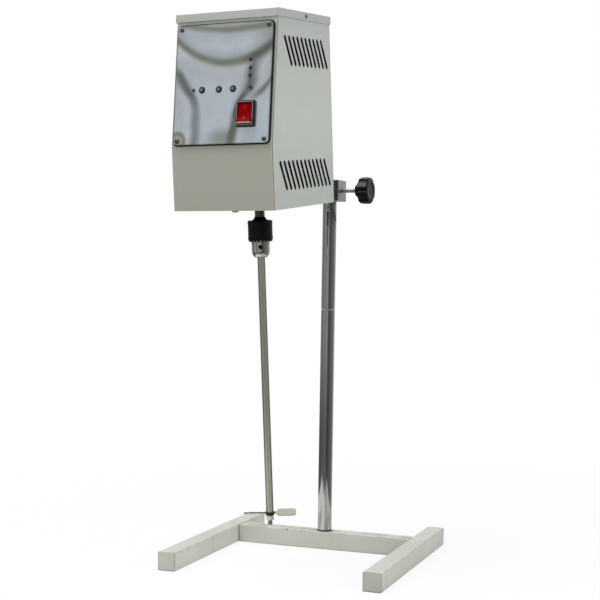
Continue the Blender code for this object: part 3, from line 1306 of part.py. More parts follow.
def neck_shape():
    """The twist between the flat hub and a pitched blade, lofted in steps."""
    start = HUB_R * 0.6
    end = BLADE_ROOT_R + BLADE_CORNER / 2
    loops = []
    for i in range(5):
        share = i / 4
        x = start + (end - start) * share
        twist = BLADE_PITCH * share
        half = BLADE_NECK / 2
        thick = BLADE_THICK / 2 * (1 - NECK_THIN_SHARE * share)
        corners = ((-half, -thick), (half, -thick), (half, thick), (-half, thick))
        loops.append([(x, y * cos(twist) - z * sin(twist), y * sin(twist) + z * cos(twist))
                      for y, z in corners])
    return loft(loops)


def build():
    clear_scene()
    paints = finishes()
    clamp = frame("clamp_frame", None, (0, 0, CLAMP_Z), (0, 0, HEAD_TURN))
    head = frame("head_frame", clamp, (-ARM_OFFSET, -SPINDLE_REACH, HEAD_Z - CLAMP_Z), (HEAD_RAKE, 0, 0))
    panel = frame("panel_frame", head, (0, -HEAD_FRONT, FRONT_BEND_Z), (pi / 2 - FRONT_SLANT, 0, 0))
    build_base(paints)
    build_rods(paints)
    build_clamp(paints, clamp)
    build_arm(paints, clamp, head)
    build_shell(paints, head, panel)
    build_covers(paints, head)
    build_floor(paints, head)
    build_panel(paints, panel)
    build_buttons(paints, panel)
    build_switch(paints, panel)
    build_board(paints, panel)
    build_motor(paints, head)
    build_drive_top(paints, head)
    build_transformer(paints, head)
    build_spindle(paints, head)
    build_chuck(paints, head)
    build_shaft(paints, head)
    bpy.context.view_layer.update()


build()
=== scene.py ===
"""Studio dressing of a bench stirrer: a finish for every piece, and finer pieces in place
of those whose edges, curves, threads or teeth are looked at closely.

Lengths are metres, +Z up, the front towards -Y, the origin under the stand rod.
Three frames follow the source: CLAMP turns about the rod, HEAD adds the head's forward
rake, and PANEL lies on the slanted front with +Y up the slope and +Z out of it.
"""
from math import atan2, copysign, cos, pi, radians, sin, tan
import bpy
import bmesh
from mathutils import Matrix, Vector


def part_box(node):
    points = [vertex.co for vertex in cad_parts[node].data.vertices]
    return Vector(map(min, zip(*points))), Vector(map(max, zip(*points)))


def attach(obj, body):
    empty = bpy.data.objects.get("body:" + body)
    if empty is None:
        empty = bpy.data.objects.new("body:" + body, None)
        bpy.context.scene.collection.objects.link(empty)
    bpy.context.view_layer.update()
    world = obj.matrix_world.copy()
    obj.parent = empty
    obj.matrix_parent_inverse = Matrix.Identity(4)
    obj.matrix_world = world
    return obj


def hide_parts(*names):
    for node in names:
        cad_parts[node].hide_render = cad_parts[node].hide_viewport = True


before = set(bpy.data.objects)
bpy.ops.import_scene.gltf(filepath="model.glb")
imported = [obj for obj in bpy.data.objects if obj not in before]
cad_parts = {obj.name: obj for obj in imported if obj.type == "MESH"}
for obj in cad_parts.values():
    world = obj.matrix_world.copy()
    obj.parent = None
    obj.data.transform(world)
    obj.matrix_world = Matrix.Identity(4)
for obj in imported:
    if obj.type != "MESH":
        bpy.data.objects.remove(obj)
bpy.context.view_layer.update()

# Places that the source gives
CLAMP_Z = 0.514
BLOCK_DEPTH = 0.030
HEAD_PLACE = (-0.020, -0.1888, -0.0322)
HEAD_TURN = radians(-4.0)
HEAD_RAKE = radians(6.5)
HEAD_WIDTH = 0.140
HEAD_FRONT = 0.102
HEAD_REAR = 0.086
HEAD_HEIGHT = 0.245
FRONT_BEND_Z = 0.080
FRONT_SETBACK = 0.030
LID_LIP = 0.0105
SHEET = 0.0012
GAP = 0.0003
BAR = 0.025
TEETH = 20
LOBES = 8
BASE_WIDTH = 0.308
LEG_MIDDLE = -0.068
LEG_LENGTH = 0.318
ROD_R = 0.010
ROD_FOOT_Z = 0.0268
ROD_JOINT_Z = 0.344
ROD_TOP_Z = 0.5294
PANEL_WIDTH = 0.132
PANEL_LIFT = 0.0020
PANEL_DROP = 0.0055
PANEL_FACE = 0.0036
LOUVRE_PITCH = 0.0124
LOUVRE_LEAN = radians(29.0)
LOUVRE_REAR_INSET = 0.0215
LOUVRE_ROWS = ((10, 0.1945), (12, 0.0412))
LOUVRE_WIDTH = 0.0057
LOUVRE_LENGTH = 0.0418
BUTTONS = (("left", -0.213), ("middle", -0.034), ("right", 0.114))
BUTTON_ROW = 0.453
LAMPS = ((-0.302, 0.453), (0.285, 0.687), (0.285, 0.619), (0.285, 0.556))
SWITCH = (0.261, 0.241)
SWITCH_PIVOT = 0.00415
SWITCH_WELL = (0.0103, 0.0138)
SWITCH_FACE = 0.0084
ROCKER_TILT = radians(-8.0)
SHAFT_SHADING_TURN = radians(24.0)
KEY_HOLE_TURN = radians(-66.0)
JAW_LEAN = radians(9.0)
SLEEVE_TOP = -0.0185
SLEEVE_LOW = -0.0461
NOSE = -0.0658
SPINDLE_END = -0.0307
SHAFT_TOP = -0.0417
SHAFT_END = -0.4116
KNOB_R = 0.0192
KNOB_END = 0.063
CORNER_SCREWS = (0.457, 0.032, 0.968)
FRONT_SLANT = atan2(FRONT_SETBACK, HEAD_HEIGHT - FRONT_BEND_Z)
SLANT_LENGTH = (HEAD_HEIGHT - LID_LIP - FRONT_BEND_Z) / cos(FRONT_SLANT)
PANEL_HEIGHT = SLANT_LENGTH - PANEL_LIFT - PANEL_DROP
LEG_FRONT = LEG_LENGTH / 2 - LEG_MIDDLE


def about(axis, angle):
    return Matrix.Rotation(angle, 4, axis)


def at(*place):
    return Matrix.Translation(place)


def on_panel(across, up, out=0.0):
    """A place on the panel, given as shares of its width and height."""
    return PANEL @ at(PANEL_WIDTH * across, PANEL_LIFT + PANEL_HEIGHT * up, out)


WORLD = Matrix.Identity(4)
CLAMP = at(0, 0, CLAMP_Z) @ about("Z", HEAD_TURN)
HEAD = CLAMP @ at(*HEAD_PLACE) @ about("X", HEAD_RAKE)
PANEL = HEAD @ at(0, -HEAD_FRONT, FRONT_BEND_Z) @ about("X", pi / 2 - FRONT_SLANT)
KNOB = CLAMP @ about("Y", pi / 2)
ROCKER = on_panel(*SWITCH, SWITCH_PIVOT) @ about("X", ROCKER_TILT)


# Shader tools

def math_node(operation, order=(0, 1)):
    """A method of Value that adds a Math node, with its numbers in that order."""
    def method(value, other=None):
        numbers = (value,) if other is None else (value, other)
        return value.nodes.add("Math", dict(zip(order, numbers)), operation=operation)
    return method


class Value:
    """A number inside a material. Operators on it add the Math nodes."""

    def __init__(self, nodes, socket):
        self.nodes = nodes
        self.socket = socket

    __add__ = __radd__ = math_node("ADD")
    __sub__ = math_node("SUBTRACT")
    __rsub__ = math_node("SUBTRACT", (1, 0))
    __mul__ = __rmul__ = math_node("MULTIPLY")
    __truediv__ = math_node("DIVIDE")
    __pow__ = math_node("POWER")
    __abs__ = math_node("ABSOLUTE")
    sine = math_node("SINE")
    least = math_node("MINIMUM")
    most = math_node("MAXIMUM")

    def __neg__(self):
        return self * -1.0

    def fade(self, start, end):
        """0 at start and 1 at end, eased at both."""
        return self.nodes.add("MapRange", {"Value": self, "From Min": start, "From Max": end},
                              interpolation_type="SMOOTHSTEP")

    def band(self, inner, outer):
        """1 within inner of zero, 0 from outer on."""
        return 1 - abs(self).fade(inner, outer)

    def curve(self, points, low, high):
        """A drawn curve through points of (input, output), both within low to high."""
        span = high - low
        scaled = [((start - low) / span, (end - low) / span) for start, end in points]
        drawn = self.nodes.add("FloatCurve", {"Value": (self - low) / span}, points=scaled)
        return drawn * span + low


class Nodes:
    """A node tree in the making."""

    def __init__(self, tree):
        self.tree = tree

    def feed(self, socket, value):
        if isinstance(value, Value):
            self.tree.links.new(value.socket, socket)
        else:
            socket.default_value = value

    def add(self, kind, inputs=None, out=0, **settings):
        """Any shader node: its type, what its sockets take, the output wanted, its settings."""
        node = self.tree.nodes.new("ShaderNode" + kind)
        for name, value in settings.items():
            if name == "points":
                drawn = node.mapping.curves[0].points
                for end, point in zip(drawn, (value[0], value[-1])):
                    end.location = point
                for point in value[1:-1]:
                    drawn.new(*point)
                node.mapping.update()
            elif name == "stops":
                stops = node.color_ramp.elements
                while len(stops) < len(value):
                    stops.new(0.5)
                for stop, (position, colour) in zip(stops, value):
                    stop.position = position
                    stop.color = (*colour, 1.0)
            else:
                setattr(node, name, value)
        for socket, value in (inputs or {}).items():
            self.feed(node.inputs[socket], value)
        return Value(self, node.outputs[out]) if node.outputs else None

    def rays(self, *kinds):
        """1 on rays of these kinds, 0 on any other."""
        first, *others = [self.add("LightPath", out="Is %s Ray" % kind) for kind in kinds]
        for other in others:
            first = first.most(other)
        return first

    def place(self, matrix=WORLD):
        """The point on the piece, in metres, as seen from a frame."""
        point = self.add("TexCoord", out="Object")
        if matrix == WORLD:
            return point
        back = matrix.inverted()
        return self.add("Mapping", {"Vector": point, "Location": back.translation,
                                    "Rotation": back.to_euler()}, vector_type="POINT")

    def parts(self, point):
        """The three numbers of a point."""
        split = self.add("SeparateXYZ", {0: point})
        return [Value(self, output) for output in split.socket.node.outputs]

    def noise(self, point, scale, detail=3.0, rough=0.55):
        return self.add("TexNoise", {"Vector": point, "Scale": scale, "Detail": detail, "Roughness": rough})

    def stretched(self, point, scale):
        """The point with each direction scaled, for drawn-out noise."""
        return self.add("VectorMath", {0: point, 1: scale}, operation="MULTIPLY")

    def blend(self, share, first, second):
        """From the first colour to the second."""
        first = first if isinstance(first, Value) else (*first, 1.0)
        second = second if isinstance(second, Value) else (*second, 1.0)
        return self.add("Mix", {0: share, 6: first, 7: second}, 2, data_type="RGBA")


class Finish(Nodes):
    """A material in the making, on the principled shader."""

    def __init__(self, name, colour, roughness, metallic=0.0, **fixed):
        self.material = bpy.data.materials.new(name)
        self.material.use_nodes = True
        super().__init__(self.material.node_tree)
        self.shader = self.tree.nodes["Principled BSDF"]
        self.tone = colour
        self.put("Base Color", (*colour, 1.0))
        self.put("Roughness", roughness)
        self.put("Metallic", metallic)
        for socket, value in fixed.items():
            self.put(socket.replace("_", " "), value)

    def put(self, socket, value):
        self.feed(self.shader.inputs[socket], value)

    def cover(self, share, colour):
        """Lays a colour over the base colour so far."""
        self.tone = self.blend(share, self.tone, colour)
        self.put("Base Color", self.tone)

    def relief(self, height, depth):
        """Bumps of that depth in metres."""
        return self.add("Bump", {"Height": height, "Distance": depth, "Strength": 1.0})


def length(*numbers):
    """How far a point lies from the origin."""
    squares = [number * number for number in numbers]
    return sum(squares[1:], squares[0]) ** 0.5


def shade(colour, amount):
    """A colour made lighter or darker by a share."""
    return tuple(min(1.0, part * amount) for part in colour)


# Finishes

def enamel(name, colour, frame_matrix):
    """Baked enamel: a fine orange peel, faint clouds, and dust in the hollows."""
    paint = Finish(name, colour, 0.42, Coat_Weight=0.12, Coat_Roughness=0.25)
    point = paint.place(frame_matrix)
    clouds = paint.noise(point, 14, 4)
    specks = paint.noise(point, 1500, 2)
    paint.cover(clouds.fade(0.30, 0.50) * 0.5, shade(colour, 0.95))
    paint.cover(clouds.fade(0.50, 0.70) * 0.5, shade(colour, 1.05))
    paint.cover(specks.fade(0.64, 0.74) * 0.25, shade(colour, 0.72))
    paint.put("Roughness", 0.36 + 0.14 * clouds)
    paint.put("Normal", paint.relief(paint.noise(point, 900, 2, 0.5), 0.00012))
    return paint


def head_enamel():
    """The head's enamel with painted light and shade: sides darker towards top and bottom, a darker, warmer
    front with a lighter lid lip, a darker rear edge and front bend, and a near-black inside and cut edges.
    """
    paint = enamel("sage enamel", (0.43, 0.455, 0.425), HEAD)
    x, y, z = paint.parts(paint.place(HEAD))
    side = HEAD_WIDTH / 2
    lip = HEAD_HEIGHT - LID_LIP
    # Painted shade: the sides darken towards their top and bottom.
    painted_side_shade = (z - HEAD_HEIGHT / 2).curve(
        [(-0.13, 0.05), (-0.09, 0.05), (-0.03, 0.0), (0.02, 0.02), (0.07, 0.11), (0.105, 0.14),
         (0.116, 0.22), (0.13, 0.22)], -0.2, 0.3)
    paint.cover(painted_side_shade * abs(x).fade(side - 0.0010, side - 0.0002), (0, 0, 0))
    # Painted shade: the front is darker and warmer than the sides. Painted light: the lid's lip on the front
    # is lighter.
    front = (-y).fade(HEAD_FRONT - 0.034, HEAD_FRONT - 0.0005) * x.band(side - 0.0004, side - 0.0001)
    paint.cover(front, (0.395, 0.40, 0.335))
    paint.cover(front * z.fade(lip - 0.0008, lip), (0.43, 0.432, 0.42))
    # Painted shade along the rear edge and along the front bend.
    rear = y.fade(HEAD_REAR - 0.0020, HEAD_REAR - 0.0008)
    rear = rear * (1 - y.fade(HEAD_REAR - 0.0001, HEAD_REAR + 0.0001))
    paint.cover(rear * 0.35, (0.12, 0.12, 0.11))
    bend_shade = (z - FRONT_BEND_Z).band(0.0002, 0.0016)
    paint.cover(bend_shade * front * 0.25, (0.2, 0.2, 0.17))

    # Painted shade: the inside and the cut edges of the slots are painted near black.
    skin = abs(x).fade(side - 0.0001, side - 0.00003)
    skin = skin.most(z.fade(HEAD_HEIGHT - 0.0008, HEAD_HEIGHT - 0.0004))
    skin = skin.most(1 - z.fade(0.0004, 0.0008))
    slant = (z - FRONT_BEND_Z).most(0.0) * tan(FRONT_SLANT) - y
    skin = skin.most(slant.fade(HEAD_FRONT - 0.0008, HEAD_FRONT - 0.0004))
    skin = skin.most(y.fade(HEAD_REAR - 0.0002, HEAD_REAR + 0.0002))
    paint.cover(1 - skin, (0.008, 0.008, 0.008))
    return paint


def base_enamel():
    """The base's enamel, with a chip on the crossbar's edge, a rubbed line on one leg, worn corners and the
    grime of a bench, and painted light and shade: the crossbar darker at its left and lighter at its right,
    the front plugs darker, the tops lighter towards the rear, and a darker band along the bottom."""
    colour = (0.61, 0.622, 0.555)
    paint = enamel("cream enamel", colour, WORLD)
    point = paint.place()
    x, y, z = paint.parts(point)
    half = BAR / 2
    inner = BASE_WIDTH / 2 - BAR
    grime = paint.noise(point, 55, 5, 0.65)
    paint.cover(grime.fade(0.52, 0.72) * 0.25, shade(colour, 0.72))
    chip = length(x + 0.0532, y + half, z - (BAR - 0.0004))
    paint.cover(1 - chip.fade(0.0012, 0.0021), (0.05, 0.045, 0.04))
    rub = (y + 0.1045 + (z - 0.012) * 0.05).band(0.0006, 0.0022) * (-x).fade(inner - 0.009, inner - 0.0005)
    paint.cover(rub * 0.3, shade(colour, 0.45))
    seam = (abs(x) - inner).band(0.0002, 0.0014) * y.band(half - 0.0005, half + 0.0017)
    paint.cover(seam * 0.5, shade(colour, 0.5))

    # Painted light and shade: the crossbar darker at its left and lighter at its right, the front plugs
    # darker, the tops lighter towards the rear, and a darker band along the bottom.
    on_bar = y.band(half, half + 0.0004)
    front_end = (-y).fade(LEG_FRONT - 0.0008, LEG_FRONT - 0.0004)
    paint.cover((-x).fade(0.060, inner - 0.004) * on_bar * 0.14, shade(colour, 0.3))
    paint.cover(x.fade(inner - 0.001, inner) * front_end * 0.24, shade(colour, 0.2))
    paint.cover(x.fade(-0.01, 0.06) * on_bar * 0.30, (0.78, 0.79, 0.71))
    paint.cover(y.fade(-0.08, 0.02) * z.fade(BAR - 0.0004, BAR - 0.0001) * 0.30, (0.80, 0.81, 0.74))
    paint.cover((-x).fade(inner - 0.001, inner) * front_end * 0.10, shade(colour, 0.2))
    paint.cover((1 - z.fade(0.0, 0.003)) * 0.4, shade(colour, 0.5))

    beside = abs(abs(x) - (BASE_WIDTH / 2 - half)).fade(half - 0.0022, half - 0.0004)
    above = abs(z - half).fade(half - 0.0022, half - 0.0004)
    ends = abs(y - LEG_MIDDLE).fade(LEG_LENGTH / 2 - 0.0022, LEG_LENGTH / 2 - 0.0006)
    end_edge = ends * beside.most(above)
    bar_edge = abs(y).fade(half - 0.0016, half) * y.band(half + 0.0002, half + 0.001)
    wear = (beside * above).most(end_edge).most(bar_edge * z.fade(BAR - 0.0025, BAR - 0.0002))
    paint.cover(wear * grime.fade(0.42, 0.58) * 0.55, (0.33, 0.31, 0.25))
    paint.cover(end_edge * (0.25 + 0.5 * grime), (0.24, 0.22, 0.17))
    mud = paint.noise(point, 190, 4, 0.7)
    paint.cover(mud.fade(0.63, 0.72) * wear * 0.8, (0.11, 0.095, 0.07))
    return paint


def drawn_metal(name, colour, roughness, frame_matrix, along=(90, 90, 3), metallic=1.0):
    """Metal with fine marks drawn out along one direction."""
    metal = Finish(name, colour, roughness, metallic)
    point = metal.place(frame_matrix)
    marks = metal.noise(metal.stretched(point, along), 24, 5, 0.7)
    stains = metal.noise(point, 35, 3)
    metal.cover(marks.fade(0.25, 0.5) * 0.5, shade(colour, 0.86))
    metal.cover(marks.fade(0.5, 0.75) * 0.5, shade(colour, 1.12))
    metal.cover(stains.fade(0.55, 0.8) * 0.35, shade(colour, 0.8))
    metal.put("Roughness", roughness * 0.75 + roughness * 0.5 * marks)
    metal.put("Normal", metal.relief(marks, 0.00003))
    return metal


def moulded(name, colour, roughness, frame_matrix, grain=1400, depth=0.00006, **fixed):
    """Moulded plastic or rubber with a fine grain and handling marks."""
    plastic = Finish(name, colour, roughness, **fixed)
    point = plastic.place(frame_matrix)
    fine = plastic.noise(point, grain, 2)
    smears = plastic.noise(point, 60, 4)
    plastic.cover(smears.fade(0.45, 0.75), shade(colour, 1.35))
    plastic.put("Roughness", roughness * 0.8 + roughness * 0.5 * smears)
    plastic.put("Normal", plastic.relief(fine, depth))
    return plastic


def sawn_alloy():
    """Sawn block with its front face, which looks towards the housing, darkened as painted shade."""
    metal = drawn_metal("sawn alloy", (0.40, 0.41, 0.40), 0.40, CLAMP, (12, 60, 60))
    # Painted shade on the front face, towards the housing.
    depth = -metal.parts(metal.place(CLAMP))[1]
    face = depth.fade(BLOCK_DEPTH / 2 - 0.0006, BLOCK_DEPTH / 2 - 0.0001)
    metal.cover(face * 0.85, (0.05, 0.05, 0.047))
    return metal


def chuck_nose():
    """Bright turned steel, painted near black as shade above the shell and inside the key holes."""
    metal = drawn_metal("bright steel", (0.86, 0.85, 0.81), 0.13, HEAD, (6, 6, 90))
    x, y, z = metal.parts(metal.place(HEAD))
    # Painted shade: near black inside the key holes and on the nose where the shell covers it.
    inside = (1 - length(x, y).fade(0.0113, 0.0116)) * z.fade(NOSE + 0.0052, NOSE + 0.0056)
    above = z.fade(SLEEVE_LOW + 0.0041, SLEEVE_LOW + 0.0046)
    metal.cover(inside.most(above), (0.012, 0.012, 0.012))
    return metal


def shell_black():
    """Blued steel, worn bright in the gaps between the teeth."""
    shell = drawn_metal("blued steel", (0.030, 0.030, 0.029), 0.42, HEAD, (90, 90, 12))
    x, y, z = shell.parts(shell.place(HEAD))
    turn = shell.add("Math", {0: y, 1: x}, operation="ARCTAN2")
    gaps = (turn * TEETH + pi / 2).sine()
    teeth = 1 - z.fade(SLEEVE_LOW + 0.0021, SLEEVE_LOW + 0.0025)
    shell.cover((1 - gaps.fade(-0.15, 0.15)) * teeth, (0.42, 0.42, 0.40))
    return shell


def oiled_spindle():
    """Dark oiled steel with grooves turned into the neck."""
    metal = drawn_metal("oiled steel", (0.32, 0.32, 0.29), 0.3, HEAD, (6, 6, 90))
    z = metal.parts(metal.place(HEAD))[2]
    turns = (z * (2 * pi / 0.0025)).sine()
    metal.cover(turns.fade(0.0, 0.9) * 0.6, (0.02, 0.02, 0.02))
    return metal


def shaft_with_painted_shading():
    """Ground bar with painted light and shade along it: two bright streaks of painted reflection between two
    dark sides of painted shade, and painted shade on its lower end and stud.
    """
    bar = drawn_metal("ground bar", (0.57, 0.56, 0.485), 0.32, HEAD, (60, 60, 2), 0.8)
    x, y, z = bar.parts(bar.place(HEAD))
    across = x * cos(SHAFT_SHADING_TURN) + y * sin(SHAFT_SHADING_TURN)
    # Painted reflection: two bright streaks along the bar. Painted shade: darker towards the lower end, dark
    # on two opposite sides, and darker on the stud.
    bar.cover((abs(across) - 0.0019).band(0.0002, 0.0012) * 0.6, (0.86, 0.85, 0.76))
    bar.cover((1 - z.fade(-0.42, -0.32)) * 0.25, (0.09, 0.09, 0.075))
    bar.cover(abs(across).fade(0.0030, 0.0046) * 0.85, (0.08, 0.08, 0.065))
    bar.cover((1 - z.fade(SHAFT_END - 0.0006, SHAFT_END + 0.0004)) * 0.7, (0.10, 0.10, 0.085))
    return bar


def rolled_blade():
    """Rolled steel, with painted shadow round the hub under the nut."""
    blade = drawn_metal("rolled blade", (0.42, 0.43, 0.355), 0.34, HEAD, (30, 90, 90))
    x, y = blade.parts(blade.place(HEAD))[:2]
    # Painted shadow round the hub.
    blade.cover((1 - length(x, y).fade(0.0070, 0.0084)) * 0.9, (0.015, 0.015, 0.013))
    return blade


# Colours of the panel and of the room painted into it as reflection
LAVENDER = (0.376, 0.413, 0.445)
PALE = (0.43, 0.475, 0.525)
OLIVE = (0.150, 0.155, 0.118)
SLATE = (0.160, 0.180, 0.192)
CREAM = (0.52, 0.52, 0.50)


def mirror_panel():
    """The polished panel, with the room painted into its colour as broad bands of painted reflection, the way
    its slight waves would draw it out.
    Its places are millimetres, across from the middle and up from the foot."""
    panel = Finish("polished panel", LAVENDER, 0.16, 0.55)
    point = panel.place(PANEL)
    u, v = [part * 1000 for part in panel.parts(point)[:2]]
    drift = (panel.noise(point, 22, 2) - 0.5) * 5
    ripple = panel.noise(point, 60, 3)

    def streak(gap, inner, outer):
        return (gap + drift).band(inner, outer)

    smile = v - (102.3 + 0.0062 * (u - 6) * (u - 6))
    brow = v - (143.5 + 0.0019 * (u - 14) * (u - 14))
    column = u - v.curve([
        (0, 12), (10, 14), (24, 18), (45, 22), (58, 28), (67, 35), (76, 39), (90, 40),
        (104, 45), (112, 51), (125, 58), (155, 62)], -160, 160)
    bend = u - v.curve([
        (0, -38), (12, -35), (27, -35), (44, -36), (57, -40), (68, -48), (80, -56),
        (90, -61), (105, -68), (155, -90)], -160, 160)
    spur = v - u.curve([(20, 54), (35, 58), (50, 63), (58, 69), (64, 77), (70, 88)], -160, 160)
    low_right = 1 - v.fade(92, 114)
    low_left = 1 - v.fade(88, 104)

    # Painted reflection of the room, in bands, with a painted halo round the lower left screw.
    panel.cover(streak(v - 122, 4, 17), PALE)
    panel.cover((v - 48).band(22, 46) * (u + 12).band(22, 46) * 0.7, shade(PALE, 1.07))
    panel.cover((1 - u.fade(10, 62)) * (1 - v.fade(6, 60)) * 0.5, PALE)
    panel.cover(u.fade(44, 54) * (1 - v.fade(52, 70)), PALE)
    panel.cover(ripple.fade(0.35, 0.7) * 0.35, shade(LAVENDER, 0.86))
    panel.cover(u.fade(30, 70) * v.fade(95, 140) * 0.45, OLIVE)
    panel.cover(streak(smile + 11, 0, 13) * 0.22, CREAM)
    panel.cover(streak(smile - 4, 1, 15) * 0.45, shade(LAVENDER, 0.62))
    panel.cover(streak(smile, 0.5, 8.5) * 0.92, OLIVE)
    panel.cover(streak(smile + 2, 0, 8.5 + 6 * u.fade(25, 55)) * u.fade(18, 42) * 0.85, shade(OLIVE, 0.5))
    panel.cover(streak(brow - 6, 1, 8) * 0.35, CREAM)
    panel.cover(streak(brow, 0, 7.5) * 0.8, OLIVE)
    panel.cover(streak(brow - 3, 0, 9) * u.fade(-20, 5) * 0.4, OLIVE)
    panel.cover(streak(column - 12, 1, 11) * low_right * 0.3, CREAM)
    panel.cover(streak(column, 0, 9.5 + 5 * v.fade(56, 74)) * low_right * 0.9, shade(SLATE, 0.62))
    panel.cover(streak(column + 2, 0, 4.5) * low_right * ripple.fade(0.4, 0.6) * 0.6, shade(OLIVE, 0.35))
    panel.cover(streak(column - 2, 1, 9) * (1 - v.fade(16, 38)) * 0.75, shade(OLIVE, 0.6))
    panel.cover(streak(spur, 0.5, 9) * u.fade(30, 54) * 0.85, shade(OLIVE, 0.75))
    reflected_pool = length((u - 2) / 24, (v - 9) / 15)
    panel.cover((1 - reflected_pool.fade(0.2, 1.1)) * 0.6, OLIVE)
    panel.cover(streak(bend + 11, 1, 11) * low_left * 0.3, CREAM)
    panel.cover(streak(bend, 1, 10.5 + 5 * (v - 74).band(0, 20)) * low_left * 0.85, SLATE)
    panel.cover(streak(bend - 1, 1, 9) * v.fade(42, 66) * low_left * 0.75, shade(SLATE, 0.5))
    curl = length(u + 60, v - 7)
    panel.cover((curl - 9).band(1, 5), shade(OLIVE, 1.35))
    panel.cover(1 - curl.fade(4, 8), (0.27, 0.275, 0.24))

    grain = panel.noise(panel.stretched(point, (1, 60, 1)), 60, 4)
    panel.cover(grain.fade(0.45, 0.75) * 0.10, shade(LAVENDER, 1.25))
    # Painted shade along the panel's edges.
    edge = abs(u).fade(63.5, 65.8).most(v.fade(149.2, 151.3)).most(1 - v.fade(2.2, 4.0))
    panel.cover(edge * 0.35, shade(OLIVE, 0.6))
    for across, up in LAMPS:
        lamp = length(u - PANEL_WIDTH * across * 1000, v - (PANEL_LIFT + PANEL_HEIGHT * up) * 1000)
        panel.cover(1 - lamp.fade(2.0, 2.7), (0.015, 0.015, 0.02))
    panel.put("Roughness", 0.13 + 0.10 * grain)
    panel.put("Normal", panel.relief(panel.noise(point, 9, 1), 0.0006))
    return panel


def button_grey(name, matrix):
    """A grey cap with a dark dimple in its middle."""
    cap = Finish(name + " cap", (0.19, 0.20, 0.21), 0.35)
    point = cap.place(matrix)
    x, y = cap.parts(point)[:2]
    ring = length(x, y)
    fine = cap.noise(point, 1400, 2)
    cap.cover(fine.fade(0.3, 0.7), (0.25, 0.26, 0.27))
    cap.cover(ring.fade(0.0015, 0.0020) * 0.9, (0.012, 0.012, 0.014))
    cap.cover(1 - ring.fade(0.0006, 0.0010), (0.012, 0.012, 0.012))
    cap.put("Normal", cap.relief(fine, 0.00004))
    return cap


def bezel_black():
    """Black moulding with a pale painted highlight on the rim round the switch's well."""
    black = moulded("switch moulding", (0.006, 0.006, 0.0065), 0.30, PANEL, Specular_IOR_Level=0.12)
    x, y, z = black.parts(black.place(on_panel(*SWITCH)))
    # Painted highlight along the rim round the well.
    beyond = (abs(x) - SWITCH_WELL[0]).most(abs(y) - SWITCH_WELL[1])
    rim = (beyond - 0.0004).band(0.0003, 0.0006)
    rim = rim * z.fade(SWITCH_FACE - 0.0008, SWITCH_FACE - 0.0003)
    black.cover(rim * 0.8, (0.36, 0.345, 0.31))
    return black


def bakelite_with_painted_highlight():
    """Black bakelite, with a painted highlight along the crests of the upper lobes."""
    grip = moulded("black bakelite", (0.005, 0.005, 0.0055), 0.26, KNOB, 900, 0.00002,
                   Specular_IOR_Level=0.12)
    x, y, z = grip.parts(grip.place(KNOB))
    # Painted highlight on the crests of the upper lobes.
    crest_highlight = length(x, y).fade(KNOB_R - 0.0014, KNOB_R - 0.0004)
    crest_highlight = crest_highlight * (1 - z.fade(KNOB_END - 0.0025, KNOB_END - 0.0012))
    grip.cover(crest_highlight * (-x).fade(0.0015, 0.0045) * 0.9, (0.17, 0.17, 0.17))
    return grip


def rocker_red():
    """Clear deep red with a pale mark cut in each half: a bar and a ring. Painted shade darkens its top end
    and sides, and a pale painted highlight runs along its lower end.
    """
    red = Finish("rocker red", (0.22, 0.002, 0.004), 0.3, Specular_IOR_Level=0.01)
    point = red.place(ROCKER)
    x, y, z = red.parts(point)
    haze = red.noise(point, 220, 3)
    red.cover(haze.fade(0.35, 0.7) * 0.6, (0.27, 0.003, 0.005))
    # Painted shade at the top end and on the sides.
    red.cover(y.fade(0.0090, 0.0128) * 0.9, (0.02, 0.001, 0.002))
    red.cover(abs(x).fade(0.0076, 0.0098) * 0.7, (0.05, 0.001, 0.002))
    bar = x.band(0.0002, 0.0004) * (y - 0.0072).band(0.0017, 0.0020)
    ring = (length(x, y + 0.0068) - 0.0016).band(0.0002, 0.0004)
    marks = bar.most(ring) * z.fade(0.002, 0.003)
    red.cover(marks * 0.55, (0.55, 0.16, 0.07))
    # Painted highlight along the lower end.
    red.cover((1 - y.fade(-0.0128, -0.0120)) * haze.fade(0.1, 0.35), (0.75, 0.62, 0.60))
    red.put("Roughness", 0.16 + 0.18 * haze)
    red.put("Normal", red.relief(marks, -0.0001))
    return red


def circuit_green():
    """Green board lacquer with tracks and pads, and the smoked caps of the lamps on it."""
    board = Finish("board lacquer", (0.018, 0.115, 0.05), 0.30)
    point = board.place(PANEL)
    u, v, depth = board.parts(point)
    tracks = (((u + v * 0.2) * 1300).sine() * ((v - u * 0.1) * 900).sine()).fade(0.55, 0.62)
    cells = board.noise(point, 160, 2)
    board.cover(tracks, (0.05, 0.24, 0.09))
    board.cover(cells.fade(0.66, 0.68), (0.55, 0.52, 0.42))
    smoked = board.blend(u.fade(-0.03, 0.0), (0.075, 0.08, 0.085), (0.012, 0.012, 0.013))
    board.cover(depth.fade(-0.0105, -0.0095), smoked)
    board.put("Roughness", 0.26 + 0.2 * cells)
    board.put("Normal", board.relief(tracks, 0.00003))
    return board


def stacked_iron():
    """Punched iron sheets, stacked, under dark varnish."""
    iron = Finish("iron stack", (0.06, 0.058, 0.058), 0.5, 0.7)
    point = iron.place(HEAD)
    height = iron.parts(point)[2]
    seams = (height * 2 * pi / 0.0008).sine().fade(-0.3, 0.6)
    patches = iron.noise(point, 40, 4)
    iron.cover(seams, (0.19, 0.185, 0.19))
    iron.cover(patches.fade(0.55, 0.75) * 0.5, (0.16, 0.10, 0.06))
    iron.put("Roughness", 0.4 + 0.25 * patches)
    iron.put("Normal", iron.relief(seams, 0.0001))
    return iron


# Modelling tools

def settle():
    """Nothing selected, so that an operator acts only on what comes next."""
    bpy.ops.object.select_all(action="DESELECT")


def in_hand(piece):
    settle()
    piece.select_set(True)
    bpy.context.view_layer.objects.active = piece


